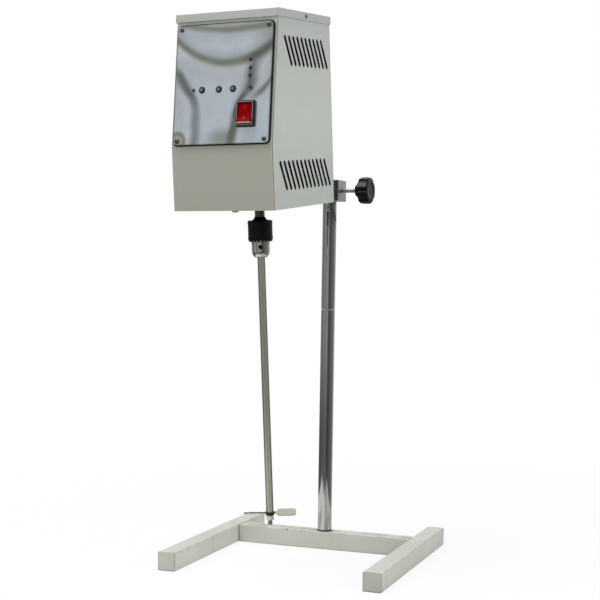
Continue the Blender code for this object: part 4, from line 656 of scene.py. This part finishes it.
def fresh(name):
    """The primitive just added, named, with its place put into its mesh."""
    bpy.ops.object.transform_apply(location=True, rotation=True, scale=True)
    piece = bpy.context.object
    piece.name = name
    piece.data.name = name
    return piece


def open_mesh(piece, kind="EDGE", all_of_it=False):
    in_hand(piece)
    bpy.ops.object.mode_set(mode="EDIT")
    bpy.ops.mesh.select_mode(type=kind)
    bpy.ops.mesh.select_all(action="SELECT" if all_of_it else "DESELECT")


def close_mesh():
    bpy.ops.object.mode_set(mode="OBJECT")


def pick(piece, kind, wanted):
    """Selects the faces, edges or verts of the open mesh that pass a test."""
    mesh = bmesh.from_edit_mesh(piece.data)
    for element in getattr(mesh, kind):
        element.select_set(bool(wanted(element)))
    mesh.select_flush_mode()
    bmesh.update_edit_mesh(piece.data)


def turned(name, profile, steps=72, hollow=False):
    """A circle drawn out along its profile of (radius, height), as on a lathe.
    A hollow one's profile comes back to its start; any other gets its ends filled."""
    settle()
    radius, height = profile[0]
    bpy.ops.mesh.primitive_circle_add(vertices=steps, radius=radius, location=(0, 0, height))
    piece = fresh(name)
    open_mesh(piece, "EDGE", True)
    for next_radius, next_height in profile[1:] + (profile[:1] if hollow else []):
        bpy.ops.mesh.extrude_region_move(
            TRANSFORM_OT_translate={"value": (0, 0, next_height - height)})
        share = next_radius / radius
        bpy.ops.transform.resize(value=(share, share, 1), center_override=(0, 0, next_height))
        radius, height = next_radius, next_height
    bpy.ops.mesh.select_all(action="SELECT")
    if hollow:
        bpy.ops.mesh.remove_doubles(threshold=1e-6)
    else:
        bpy.ops.mesh.fill_holes(sides=0)
        bpy.ops.mesh.select_all(action="SELECT")
    bpy.ops.mesh.normals_make_consistent(inside=False)
    close_mesh()
    return piece


def slab(name, size, middle=(0, 0, 0)):
    """A block ready to be shaped."""
    settle()
    bpy.ops.mesh.primitive_cube_add(size=1, location=middle)
    bpy.context.object.scale = size
    return fresh(name)


def taper(piece, side, value, centre):
    """Narrows the face that looks up, or down where the side is -1."""
    open_mesh(piece, "FACE")
    pick(piece, "faces", lambda face: face.normal.z * side > 0.9)
    bpy.ops.transform.resize(value=value, center_override=centre)
    close_mesh()
    return piece


def copy_of(node, name):
    """A CAD node's own shape as a new piece, its loose triangles merged into faces."""
    piece = bpy.data.objects.new(name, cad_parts[node].data.copy())
    piece.data.name = name
    bpy.context.scene.collection.objects.link(piece)
    open_mesh(piece, "VERT", True)
    bpy.ops.mesh.remove_doubles(threshold=2e-6)
    bpy.ops.mesh.dissolve_limited(angle_limit=radians(0.8))
    bpy.ops.mesh.normals_make_consistent(inside=False)
    close_mesh()
    return piece


def modify(piece, kind, **settings):
    """Adds a modifier with its settings and applies it."""
    in_hand(piece)
    modifier = piece.modifiers.new(kind, kind)
    for name, value in settings.items():
        setattr(modifier, name, value)
    bpy.ops.object.modifier_apply(modifier=kind)


def carve(piece, *cutters):
    """Cuts the cutters out of the piece and throws them away."""
    for cutter in cutters:
        modify(piece, "BOOLEAN", operation="DIFFERENCE", solver="EXACT", object=cutter)
        bpy.data.objects.remove(cutter)
    return piece


def soften(piece, width, segments=2, angle=radians(32)):
    """Rounds the sharp edges and lets light run smoothly over the rest."""
    in_hand(piece)
    if width:
        modify(piece, "BEVEL", width=width, segments=segments, limit_method="ANGLE", angle_limit=angle,
               use_clamp_overlap=True)
    bpy.ops.object.shade_smooth_by_angle(angle=angle)
    modify(piece, "WEIGHTED_NORMAL", keep_sharp=True)
    return piece


def put_at(piece, matrix):
    """Moves the piece to its place in a frame, and puts that place into its mesh."""
    in_hand(piece)
    piece.matrix_world = matrix @ piece.matrix_world
    bpy.ops.object.transform_apply(location=True, rotation=True, scale=True)
    return piece


def twin(piece, name):
    """A copy with a mesh of its own."""
    other = piece.copy()
    other.data = piece.data.copy()
    other.name = name
    other.data.name = name
    bpy.context.scene.collection.objects.link(other)
    return other


def repeated(master, places):
    """Copies of a cutter at each place, joined into one. The master goes."""
    copies = [put_at(twin(master, master.name + " copy"), place) for place in places]
    bpy.data.objects.remove(master)
    in_hand(copies[0])
    for copy in copies:
        copy.select_set(True)
    bpy.ops.object.join()
    return copies[0]


def fit(piece, body, finish, slot, *nodes):
    """Gives a piece its finish and the body it rides on, and hides the nodes it stands in for."""
    piece.data.materials.clear()
    piece.data.materials.append(finish.material)
    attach(piece, body)
    if nodes:
        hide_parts(*nodes)
    return piece


def eased(node, name, body, finish, slot, width, segments=2):
    """A node's own shape with its edges rounded, in that node's place."""
    fit(soften(copy_of(node, name), width, segments), body, finish, slot, node)


# The stand

def stand_pieces(cream, chrome, dark):
    painted = ("stand", cream, "base_paint")
    for side in ("left", "right"):
        eased(side + "_leg", side + "_leg_bar", *painted, 0.0003, 1)
        for end in ("front", "rear"):
            node = "%s_%s_plug" % (side, end)
            eased(node, node + "_cap", *painted, 0.0005, 3)
    eased("crossbar", "cross_bar", *painted, 0.0003, 1)

    def length_of_rod(name, stud, hollow_end, low, high):
        """A rod between two heights with rounded end edges, a stud below it, and, where its
        top takes the next length's stud, a hole down from there."""
        ease = 0.0008
        side = [(ROD_R - ease, low), (ROD_R - ease * 0.3, low + ease * 0.3), (ROD_R, low + ease),
                (ROD_R, high - ease), (ROD_R - ease * 0.3, high - ease * 0.3), (ROD_R - ease, high)]
        return soften(turned(name, stud + side + hollow_end, 96), 0)

    low, high = ROD_FOOT_Z, ROD_JOINT_Z
    lower = length_of_rod("lower_rod_bar", [(0.0046, low - 0.014), (0.005, low - 0.0136), (0.005, low)],
                          [(0.0063, high), (0.0063, high - 0.029)], low, high)
    fit(lower, "stand", chrome, "chrome", "lower_rod")
    low, high = ROD_JOINT_Z + GAP, ROD_TOP_Z
    upper = length_of_rod("upper_rod_bar", [(0.0054, low - 0.026), (0.006, low - 0.0254), (0.006, low)],
                          [], low, high)
    fit(upper, "upper_rod", chrome, "chrome", "upper_rod")
    low, high = BAR + GAP, ROD_FOOT_Z - GAP
    ring = turned("foot_ring", [
        (0.0053, low), (0.0110, low), (0.0112, low + 0.0003), (0.0112, high - 0.0003), (0.0108, high),
        (0.0053, high)], 72, hollow=True)
    fit(soften(ring, 0), "stand", dark, "satin_steel", "rod_foot_washer")


# Chuck and shaft

def drive_spindle():
    """Long spindle with four grooves turned into its neck."""
    profile = [(0.0056, SPINDLE_END), (0.006, SPINDLE_END + 0.0004), (0.006, -0.0136)]
    for low in (-0.0134, -0.0109, -0.0084, -0.0059):
        profile += [(0.0064, low), (0.0068, low + 0.0003), (0.0068, low + 0.0014),
                    (0.0064, low + 0.0017), (0.0061, low + 0.0019), (0.0061, low + 0.0023)]
    profile += [(0.006, -0.0030), (0.006, 0.1512), (0.0052, 0.152)]
    return soften(turned("drive_spindle", profile, 56), 0)


def chuck_core():
    """Turned body with a coned nose, three key holes and three leaning jaw holes."""
    bore, top = SHAFT_TOP + GAP, SLEEVE_TOP
    body = turned("chuck_core", [
        (0.0053, bore), (0.0056, bore), (0.0056, NOSE), (0.0088, NOSE), (0.0091, NOSE + 0.0002),
        (0.0101, NOSE + 0.0011), (0.0110, NOSE + 0.0026), (0.0117, NOSE + 0.0046),
        (0.0119, NOSE + 0.0056), (0.0120, NOSE + 0.0066), (0.0120, SLEEVE_LOW + 0.0002),
        (0.0120, top - 0.0014), (0.0106, top + 0.0003), (0.0103, top + 0.0008), (0.0089, top + 0.0014),
        (0.0070, top + 0.0045), (0.0066, top + 0.0048), (0.0063, top + 0.0048),
        (0.0063, SPINDLE_END - GAP)], 80)
    key_hole = turned("key hole", [
        (0.0022, 0.0086), (0.00275, 0.0088), (0.00275, 0.0116), (0.0033, 0.0122), (0.0033, 0.0140)], 32)
    jaw_hole = turned("jaw hole", [(0.0027, -0.002), (0.0027, 0.0195)], 24)
    sideways = at(0, 0, SLEEVE_LOW - 0.0066) @ about("Y", pi / 2)
    leaning = at(0.005 + GAP + 0.0024 * 0.55, 0, NOSE - 0.0008) @ about("Y", JAW_LEAN)
    turns = [KEY_HOLE_TURN + i * 2 * pi / 3 for i in range(3)]
    carve(body, repeated(key_hole, [about("Z", turn) @ sideways for turn in turns]),
          repeated(jaw_hole, [about("Z", turn + pi / 3) @ leaning for turn in turns]))
    return soften(body, 0.00015, 1)


def chuck_shell():
    """Sleeve with a groove under its rim and bevel teeth round its lower edge."""
    inner, outer, top, low = 0.0123, 0.0164, SLEEVE_TOP, SLEEVE_LOW
    shell = turned("chuck_shell", [
        (inner, top), (outer - 0.0014, top), (outer - 0.0004, top - 0.0004),
        (outer, top - 0.0014), (outer, top - 0.0044), (outer - 0.0003, top - 0.0047),
        (outer - 0.0003, low + 0.0068), (outer, low + 0.0065), (outer, low + 0.0034),
        (outer - 0.0012, low), (inner, low)], 120, hollow=True)
    gap = slab("tooth gap", (0.0075, 0.0024, 0.0036), (0.0152, 0, low + 0.0006))
    taper(gap, 1, (1, 0.45, 1), (0.0152, 0, low + 0.0024))
    carve(shell, repeated(gap, [about("Z", 2 * pi * (i + 0.5) / TEETH) for i in range(TEETH)]))
    return soften(shell, 0.00012, 1)


def chuck_pieces(dark, blade_steel, blued, nose_steel, oiled):
    fit(put_at(drive_spindle(), HEAD), "spindle", oiled, "satin_steel", "spindle")
    fit(put_at(chuck_core(), HEAD), "spindle", nose_steel, "satin_steel", "chuck_body")
    fit(put_at(chuck_shell(), HEAD), "sleeve", blued, "black_oxide", "chuck_sleeve")
    top, end, stud = SHAFT_TOP, SHAFT_END, SHAFT_END - 0.0176
    shaft = turned("stirring_shaft", [
        (0.0022, stud), (0.0030, stud + 0.0008), (0.0030, end), (0.0046, end), (0.0049, end + 0.0003),
        (0.005, end + 0.0008), (0.005, top - 0.0008), (0.0047, top - 0.0003), (0.0042, top)], 72)
    fit(put_at(soften(shaft, 0), HEAD), "spindle", shaft_with_painted_shading(), "satin_steel", "stirrer_shaft")
    eased("agitator", "stirring_paddle", "spindle", blade_steel, "satin_steel", 0.0002)
    eased("lock_washer", "spring_washer", "spindle", dark, "satin_steel", 0.0003)
    eased("shaft_nut", "end_nut", "spindle", nose_steel, "satin_steel", 0.0006)


# Clamp and arm

def clamp_knob():
    """Round knob with a lobe between each pair of scallops."""
    start, body, end, rim = KNOB_END - 0.022, KNOB_END - 0.016, KNOB_END, KNOB_R
    knob = turned("star_grip", [
        (0.0033, start + 0.0143), (0.0033, start), (0.0080, start), (0.0085, start + 0.0004),
        (0.0098, body - 0.0003), (0.0150, body), (rim - 0.0014, body + 0.0008),
        (rim - 0.0003, body + 0.0024), (rim, body + 0.0048), (rim, end - 0.0045),
        (rim - 0.0004, end - 0.0022), (rim - 0.0016, end - 0.0007),
        (0.0150, end), (0.0110, end), (0.0098, end - 0.0006), (0.0060, end - 0.0006)], 120)
    scoop = turned("scallop", [(0.0064, body - 0.0030), (0.0056, body + 0.0006), (0.0052, body + 0.0030),
                               (0.0052, end - 0.0030), (0.0056, end - 0.0008), (0.0064, end + 0.0030)], 48)
    aside = at(0.0213, 0, 0)
    carve(knob, repeated(scoop, [about("Z", 2 * pi * i / LOBES) @ aside for i in range(LOBES)]))
    return soften(knob, 0.0006, 3)


def clamp_bolt():
    """Screw with a fine thread up to the knob."""
    profile = [(0.0024, 0.0149)]
    height, thread_end, pitch = 0.0153, 0.0395, 0.0008
    while height < thread_end:
        profile += [(0.0030, height), (0.0030, height + 0.00035), (0.00255, height + 0.0006)]
        height += pitch
    return soften(turned("clamp_bolt", profile + [(0.0030, height), (0.0030, 0.055)], 40), 0)


def clamp_pieces(alloy, bakelite, steel, painted):
    eased("clamp_block", "rod_clamp", "head", alloy, "aluminium", 0.0006, 3)
    fit(put_at(clamp_knob(), KNOB), "knob", bakelite, "gloss_black", "clamp_knob")
    fit(put_at(clamp_bolt(), KNOB), "knob", steel, "satin_steel", "clamp_screw")
    eased("support_arm", "carrying_arm", "head", painted, "satin_steel", 0.0003)
    eased("rear_bracket", "flange_bracket", "head", steel, "satin_steel", 0.0002, 1)


# The head

def crossed_screw(name, head_r, head_h, shank_r, shank):
    """A pan-head screw along +Z with a cross recess, its underside at the origin."""
    screw = turned(name, [
        (shank_r * 0.8, -shank), (shank_r, -shank + shank_r * 0.3), (shank_r, 0.0), (head_r * 0.97, 0.0),
        (head_r, head_h * 0.12), (head_r * 0.97, head_h * 0.45), (head_r * 0.86, head_h * 0.75),
        (head_r * 0.62, head_h * 0.94), (head_r * 0.30, head_h)], 40)
    bar = slab("recess bar", (head_r * 1.25, head_r * 0.26, head_h * 1.4), (0, 0, head_h * 0.95))
    taper(bar, -1, (0.45, 0.6, 1), (0, 0, 0))
    turn = radians(20)
    across = put_at(twin(bar, "recess bar across"), about("Z", pi / 2 + turn))
    carve(screw, put_at(bar, about("Z", turn)), across)
    return soften(screw, 0, angle=radians(28))


def blacken_recess(screw, matrix, head_r, head_h, dark):
    """Gives the recess painted shade: the faces below the dome, near the middle."""
    screw.data.materials.append(dark.material)
    back = matrix.inverted()
    for face in screw.data.polygons:
        middle = back @ face.center
        reach = middle.xy.length
        dome = head_h * (0.97 - 0.5 * (reach / head_r) ** 2)
        if 0 < middle.z < dome - 0.00015 and reach < head_r * 0.7:
            face.material_index = 1


def screws(browned, steel, dark):
    """The small cross-recess screws of the panel, the lid and the rear cover."""
    def place(master, name, matrix, sizes, finish, *nodes):
        screw = put_at(twin(master, name), matrix)
        fit(screw, "head", finish, "satin_steel", *nodes)
        blacken_recess(screw, matrix, *sizes, dark)

    sizes = (0.0030, 0.0018)
    master = crossed_screw("screw pattern", *sizes, 0.0015, 0.0064)
    across, low_share, high_share = CORNER_SCREWS
    for number in range(1, 5):
        low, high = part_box("panel_screw_%d" % number)
        middle = PANEL.inverted() @ ((low + high) / 2)
        up = high_share if middle.y > PANEL_HEIGHT / 2 else low_share
        matrix = on_panel(copysign(across, middle.x), up, PANEL_FACE + GAP) @ about("Z", radians(35 * number))
        place(master, "panel_screw_head_%d" % number, matrix, sizes, browned, "panel_screw_%d" % number)

    sizes = (0.0026, 0.0014)
    short = crossed_screw("short screw pattern", *sizes, 0.0014, 0.0030)
    for side, name in ((-1, "left"), (1, "right")):
        middle = (side * (HEAD_WIDTH / 2 + GAP + SHEET), 0.007, HEAD_HEIGHT - LID_LIP / 2)
        matrix = HEAD @ at(*middle) @ about("Y", side * pi / 2)
        place(short, name + "_lid_screw", matrix, sizes, browned)
    corners = [(side, share) for side in (-1, 1) for share in (0.27, 0.90)]
    for number, (side, share) in enumerate(corners, 1):
        middle = (side * (HEAD_WIDTH / 2 - 0.006), HEAD_REAR + 0.0001, HEAD_HEIGHT * share)
        matrix = HEAD @ at(*middle) @ about("X", -pi / 2) @ about("Z", number)
        place(short, "cover_screw_%d" % number, matrix, sizes, steel)
    for pattern in (master, short):
        bpy.data.objects.remove(pattern)


def panel_pieces(black, red, steel, board, polish, rubber):
    eased("button_frame", "button_collars", "head", black, "gloss_black", 0.0002)
    eased("switch_body", "switch_bezel", "head", bezel_black(), "gloss_black", 0.0003)
    eased("lens_ring", "lens_bezel", "head", steel, "satin_steel", 0.00015)
    eased("control_panel", "polished_front", "head", polish, "polished_sheet", 0.00015)
    eased("panel_gasket", "front_seal", "head", rubber, "black_rubber", 0.0003)
    eased("control_board", "board_and_lamps", "head", board, "board_green", 0)
    eased("power_rocker", "rocker_key", "rocker", red, "rocker_red", 0.0004, 3)
    foot, collar, face = -0.0080, -0.0025, 0.0052
    for side, across in BUTTONS:
        matrix = on_panel(across, BUTTON_ROW)
        cap = turned(side + "_button_cap", [
            (0.0015, foot), (0.0016, foot + 0.0001), (0.0016, collar - 0.0010), (0.0029, collar - 0.0010),
            (0.0030, collar - 0.0009), (0.0030, collar), (0.0023, collar), (0.0023, face - 0.0003),
            (0.0021, face), (0.0010, face), (0.0007, face - 0.0003), (0.0003, face - 0.0004)], 40)
        fit(put_at(soften(cap, 0), matrix), side + "_button", button_grey(side + " button", matrix),
            "button_grey", side + "_button")


def louvre_cutter():
    """The leaning slots of both sides at their full width and length, with round ends."""
    slot = slab("louvre", (HEAD_WIDTH * 1.1, LOUVRE_WIDTH, LOUVRE_LENGTH))
    open_mesh(slot)
    pick(slot, "edges", lambda edge: abs(edge.verts[0].co.x - edge.verts[1].co.x) > HEAD_WIDTH)
    bpy.ops.mesh.bevel(offset=LOUVRE_WIDTH * 0.42, segments=3)
    close_mesh()
    last = HEAD_REAR - LOUVRE_REAR_INSET
    return repeated(slot, [
        HEAD @ at(0, last - i * LOUVRE_PITCH, height) @ about("X", LOUVRE_LEAN)
        for count, height in LOUVRE_ROWS for i in range(count)])


def head_pieces(sage, blackened, steel):
    housing = carve(copy_of("housing_shell", "folded_housing"), louvre_cutter())
    fit(soften(housing, 0.0002, 1), "head", sage, "head_paint", "housing_shell")
    eased("lid", "folded_lid", "head", sage, "head_paint", 0.0002, 1)
    eased("rear_cover", "back_cover", "head", sage, "head_paint", 0.0002, 1)
    eased("cable_gland", "cord_gland", "head", blackened, "gloss_black", 0.0003)
    eased("gland_nut", "gland_lock_nut", "head", blackened, "gloss_black", 0.0003)
    eased("floor_screw", "floor_bolt", "head", steel, "satin_steel", 0.0003)
    eased("arm_set_screw", "arm_lock_screw", "head", steel, "satin_steel", 0.0003)


# Dressing

def dress():
    cream = base_enamel()
    sage = head_enamel()
    chrome = drawn_metal("chrome plate", (0.74, 0.75, 0.74), 0.07, WORLD, (60, 60, 2))
    steel = drawn_metal("turned steel", (0.50, 0.49, 0.42), 0.36, HEAD, (70, 70, 70), 0.7)
    blade_steel = rolled_blade()
    nose_steel = chuck_nose()
    oiled = oiled_spindle()
    zinc = drawn_metal("zinc plate", (0.50, 0.505, 0.49), 0.33, WORLD, (40, 40, 40), 0.85)
    blued = shell_black()
    browned = drawn_metal("browned steel", (0.13, 0.13, 0.12), 0.34, PANEL, (60, 60, 60))
    alloy = sawn_alloy()
    bakelite = bakelite_with_painted_highlight()
    rubber = moulded("matt rubber", (0.008, 0.008, 0.008), 0.62, WORLD, Specular_IOR_Level=0.25)
    black = moulded("black moulding", (0.008, 0.008, 0.0085), 0.30, PANEL, Specular_IOR_Level=0.2)
    red = rocker_red()
    grey = moulded("grey moulding", (0.20, 0.21, 0.21), 0.4, PANEL)
    fan = moulded("dark fan moulding", (0.05, 0.05, 0.055), 0.45, HEAD)
    brass = drawn_metal("plain brass", (0.70, 0.52, 0.24), 0.28, WORLD)
    panel = mirror_panel()
    board = circuit_green()
    iron = stacked_iron()
    winding = drawn_metal("wound copper", (0.55, 0.24, 0.10), 0.4, HEAD, (4, 90, 90))

    looks = {
        "base_paint": cream, "head_paint": sage, "chrome": chrome, "satin_steel": steel,
        "polished_sheet": panel, "aluminium": alloy, "brass": brass, "black_oxide": blued,
        "gloss_black": black, "black_rubber": rubber, "board_green": board, "lamination": iron,
        "button_grey": grey, "rocker_red": red, "fan_plastic": fan, "copper": winding,
    }
    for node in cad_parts.values():
        for slot in node.material_slots:
            key = slot.material.name.split(".")[0].replace(" ", "_")
            slot.material = looks[key].material
    stand_pieces(cream, chrome, browned)
    chuck_pieces(browned, blade_steel, blued, nose_steel, oiled)
    clamp_pieces(alloy, bakelite, zinc, steel)
    head_pieces(sage, black, zinc)
    panel_pieces(black, red, browned, board, panel, rubber)
    screws(browned, zinc, blued)


# Studio

# Angles in degrees from the camera's direction, with the wall's tone or the floor's reach
WALL_TONES = (
    (-178, 0.22), (-112, 0.24), (-89, 0.17), (-73, 0.21), (-66, 0.45), (-59, 0.21), (-48, 0.17),
    (-34, 0.27), (-17, 0.34), (0, 0.14), (14, 0.07), (28, 0.075), (48, 0.13), (75, 0.16),
    (105, 0.25), (135, 0.5), (150, 0.9))
FLOOR_REACH = (
    (-180, 0.43), (-140, 0.44), (-95, 0.50), (-60, 0.63), (-17, 0.47), (23, 0.60), (48, 0.46),
    (67, 0.41), (106, 0.32), (180, 0.29))

# The view
CAMERA_TURN = radians(20.25)
CAMERA_RISE = radians(1.09)
CAMERA_ROLL = radians(0.93)
CAMERA_PLACE = (0.60399, -1.75473, 0.39205)
CAMERA_LENS = 77.41


def bare_nodes(owner):
    """The node tree of a material or world, cleared."""
    owner.use_nodes = True
    owner.node_tree.nodes.clear()
    return Nodes(owner.node_tree)


def room():
    """White where the camera and the metal look, and soft light on the object."""
    world = bpy.data.worlds.new("studio")
    bpy.context.scene.world = world
    air = bare_nodes(world)
    strength = 0.43 + 0.57 * air.rays("Camera", "Glossy", "Transmission")
    glow = air.add("Background", {"Color": (1, 1, 1, 1), "Strength": strength})
    air.add("OutputWorld", {0: glow})


def paper_floor():
    """Glows white for the camera, less so near the object, and is clear from below."""
    settle()
    bpy.ops.mesh.primitive_plane_add(size=12, location=(0, 0, -0.0002))
    floor = bpy.context.object
    floor.name = "floor"
    paper = bpy.data.materials.new("white paper")
    sheet = bare_nodes(paper)
    away = sheet.add("VectorMath", {0: sheet.place()}, "Value", operation="LENGTH")
    far = ((away - 0.35) / 0.75).most(0.0).least(1.0)
    white = sheet.rays("Camera", "Glossy") * (0.86 + 0.14 * far)
    matt = sheet.add("BsdfDiffuse", {"Color": (0.92, 0.92, 0.92, 1)})
    glow = sheet.add("Emission")
    top = sheet.add("MixShader", {0: white, 1: matt, 2: glow})
    from_below = sheet.add("NewGeometry", out="Backfacing")
    clear = sheet.add("BsdfTransparent")
    both = sheet.add("MixShader", {0: from_below, 1: top, 2: clear})
    sheet.add("OutputMaterial", {0: both})
    floor.data.materials.append(paper)


def lamps():
    """Three soft square lamps. Metal doesn't show the side lamp."""
    for name, place, aim, size, power in (
            ("key lamp", (-0.75, -1.05, 2.75), (0, -0.10, 0.35), 1.3, 40),
            ("side lamp", (1.35, -0.5, 0.85), (0, -0.15, 0.60), 0.7, 8.5),
            ("back lamp", (-1.6, 1.8, 2.0), (0, -0.05, 0.35), 1.2, 20)):
        light = bpy.data.lights.new(name, "AREA")
        light.shape = "SQUARE"
        light.size = size
        light.energy = power
        lamp = bpy.data.objects.new(name, light)
        bpy.context.scene.collection.objects.link(lamp)
        lamp.location = place
        lamp.rotation_euler = (Vector(aim) - Vector(place)).to_track_quat("-Z", "Y").to_euler()
        lamp.visible_glossy = name != "side lamp"


def screen_grey():
    """Tones of a room, by the angle from the camera's direction: a wall with light and dark
    stretches, dusk low down, a dark slant high up, and a paler floor in front of it."""
    grey = Finish("screen grey", (0, 0, 0), 1.0, Specular_IOR_Level=0.0, Emission_Strength=1.0)
    x, y, z = grey.parts(grey.place(about("Z", CAMERA_TURN)))
    turn = grey.add("Math", {0: x, 1: -y}, operation="ARCTAN2") / (2 * pi) + 0.5
    stops = [(angle / 360 + 0.5, (tone,) * 3) for angle, tone in WALL_TONES]
    wall = grey.add("ValToRGB", {"Fac": turn}, stops=stops)
    dusk = (1 - z.fade(0.0, 0.30)) * (1 - 0.6 * x.fade(-0.25, 0.25))
    wall = grey.blend(dusk * 0.58, wall, (0, 0, 0))
    slant = ((turn - 0.5) * 360 + 3 - (0.5483 - z) * 3950).band(38, 52)
    wall = grey.blend(slant * z.fade(0.512, 0.520) * 0.9, wall, (0.01, 0.01, 0.01))
    floor = grey.blend(x.fade(-0.06, 0.05), (0.70, 0.70, 0.67), (0.30, 0.30, 0.29))
    floor = grey.blend(x.fade(0.08, 0.20), floor, (0.52, 0.52, 0.50))
    place = grey.add("CombineXYZ", {0: turn})
    streaks = grey.noise(grey.stretched(place, (9, 1, 1)), 3, 2)
    reach = turn.curve([(angle / 360 + 0.5, far) for angle, far in FLOOR_REACH], 0, 1)
    past = length(x, y) - reach + (streaks - 0.5) * 0.08
    grey.put("Emission Color", grey.blend(past.fade(-0.04, 0.05), floor, wall))
    return grey


def grey_screen():
    """A dish round the object that only mirrors see."""
    settle()
    bpy.ops.mesh.primitive_circle_add(vertices=96, radius=0.03, location=(0, 0, 0.0006))
    screen = fresh("grey_screen")
    open_mesh(screen, "EDGE", True)
    for wider, rise in ((10, 0), (3.5, 0), (1, 0.60)):
        bpy.ops.mesh.extrude_region_move(TRANSFORM_OT_translate={"value": (0, 0, rise)})
        bpy.ops.transform.resize(value=(wider, wider, 1), center_override=(0, 0, 0))
    close_mesh()
    screen.data.materials.append(screen_grey().material)
    for ray in ("camera", "diffuse", "shadow", "transmission"):
        setattr(screen, "visible_" + ray, False)


def camera():
    """The camera solved from the photograph's edges."""
    lens = bpy.data.cameras.new("camera")
    lens.sensor_width = 36
    lens.lens = CAMERA_LENS
    lens.clip_end = 50
    eye = bpy.data.objects.new("camera", lens)
    bpy.context.scene.collection.objects.link(eye)
    upright = at(*CAMERA_PLACE) @ about("Z", CAMERA_TURN) @ about("X", pi / 2 - CAMERA_RISE)
    eye.matrix_world = upright @ about("Z", CAMERA_ROLL)
    bpy.context.scene.camera = eye


bpy.context.scene.view_settings.view_transform = "Standard"
camera()
room()
paper_floor()
lamps()
grey_screen()
dress()
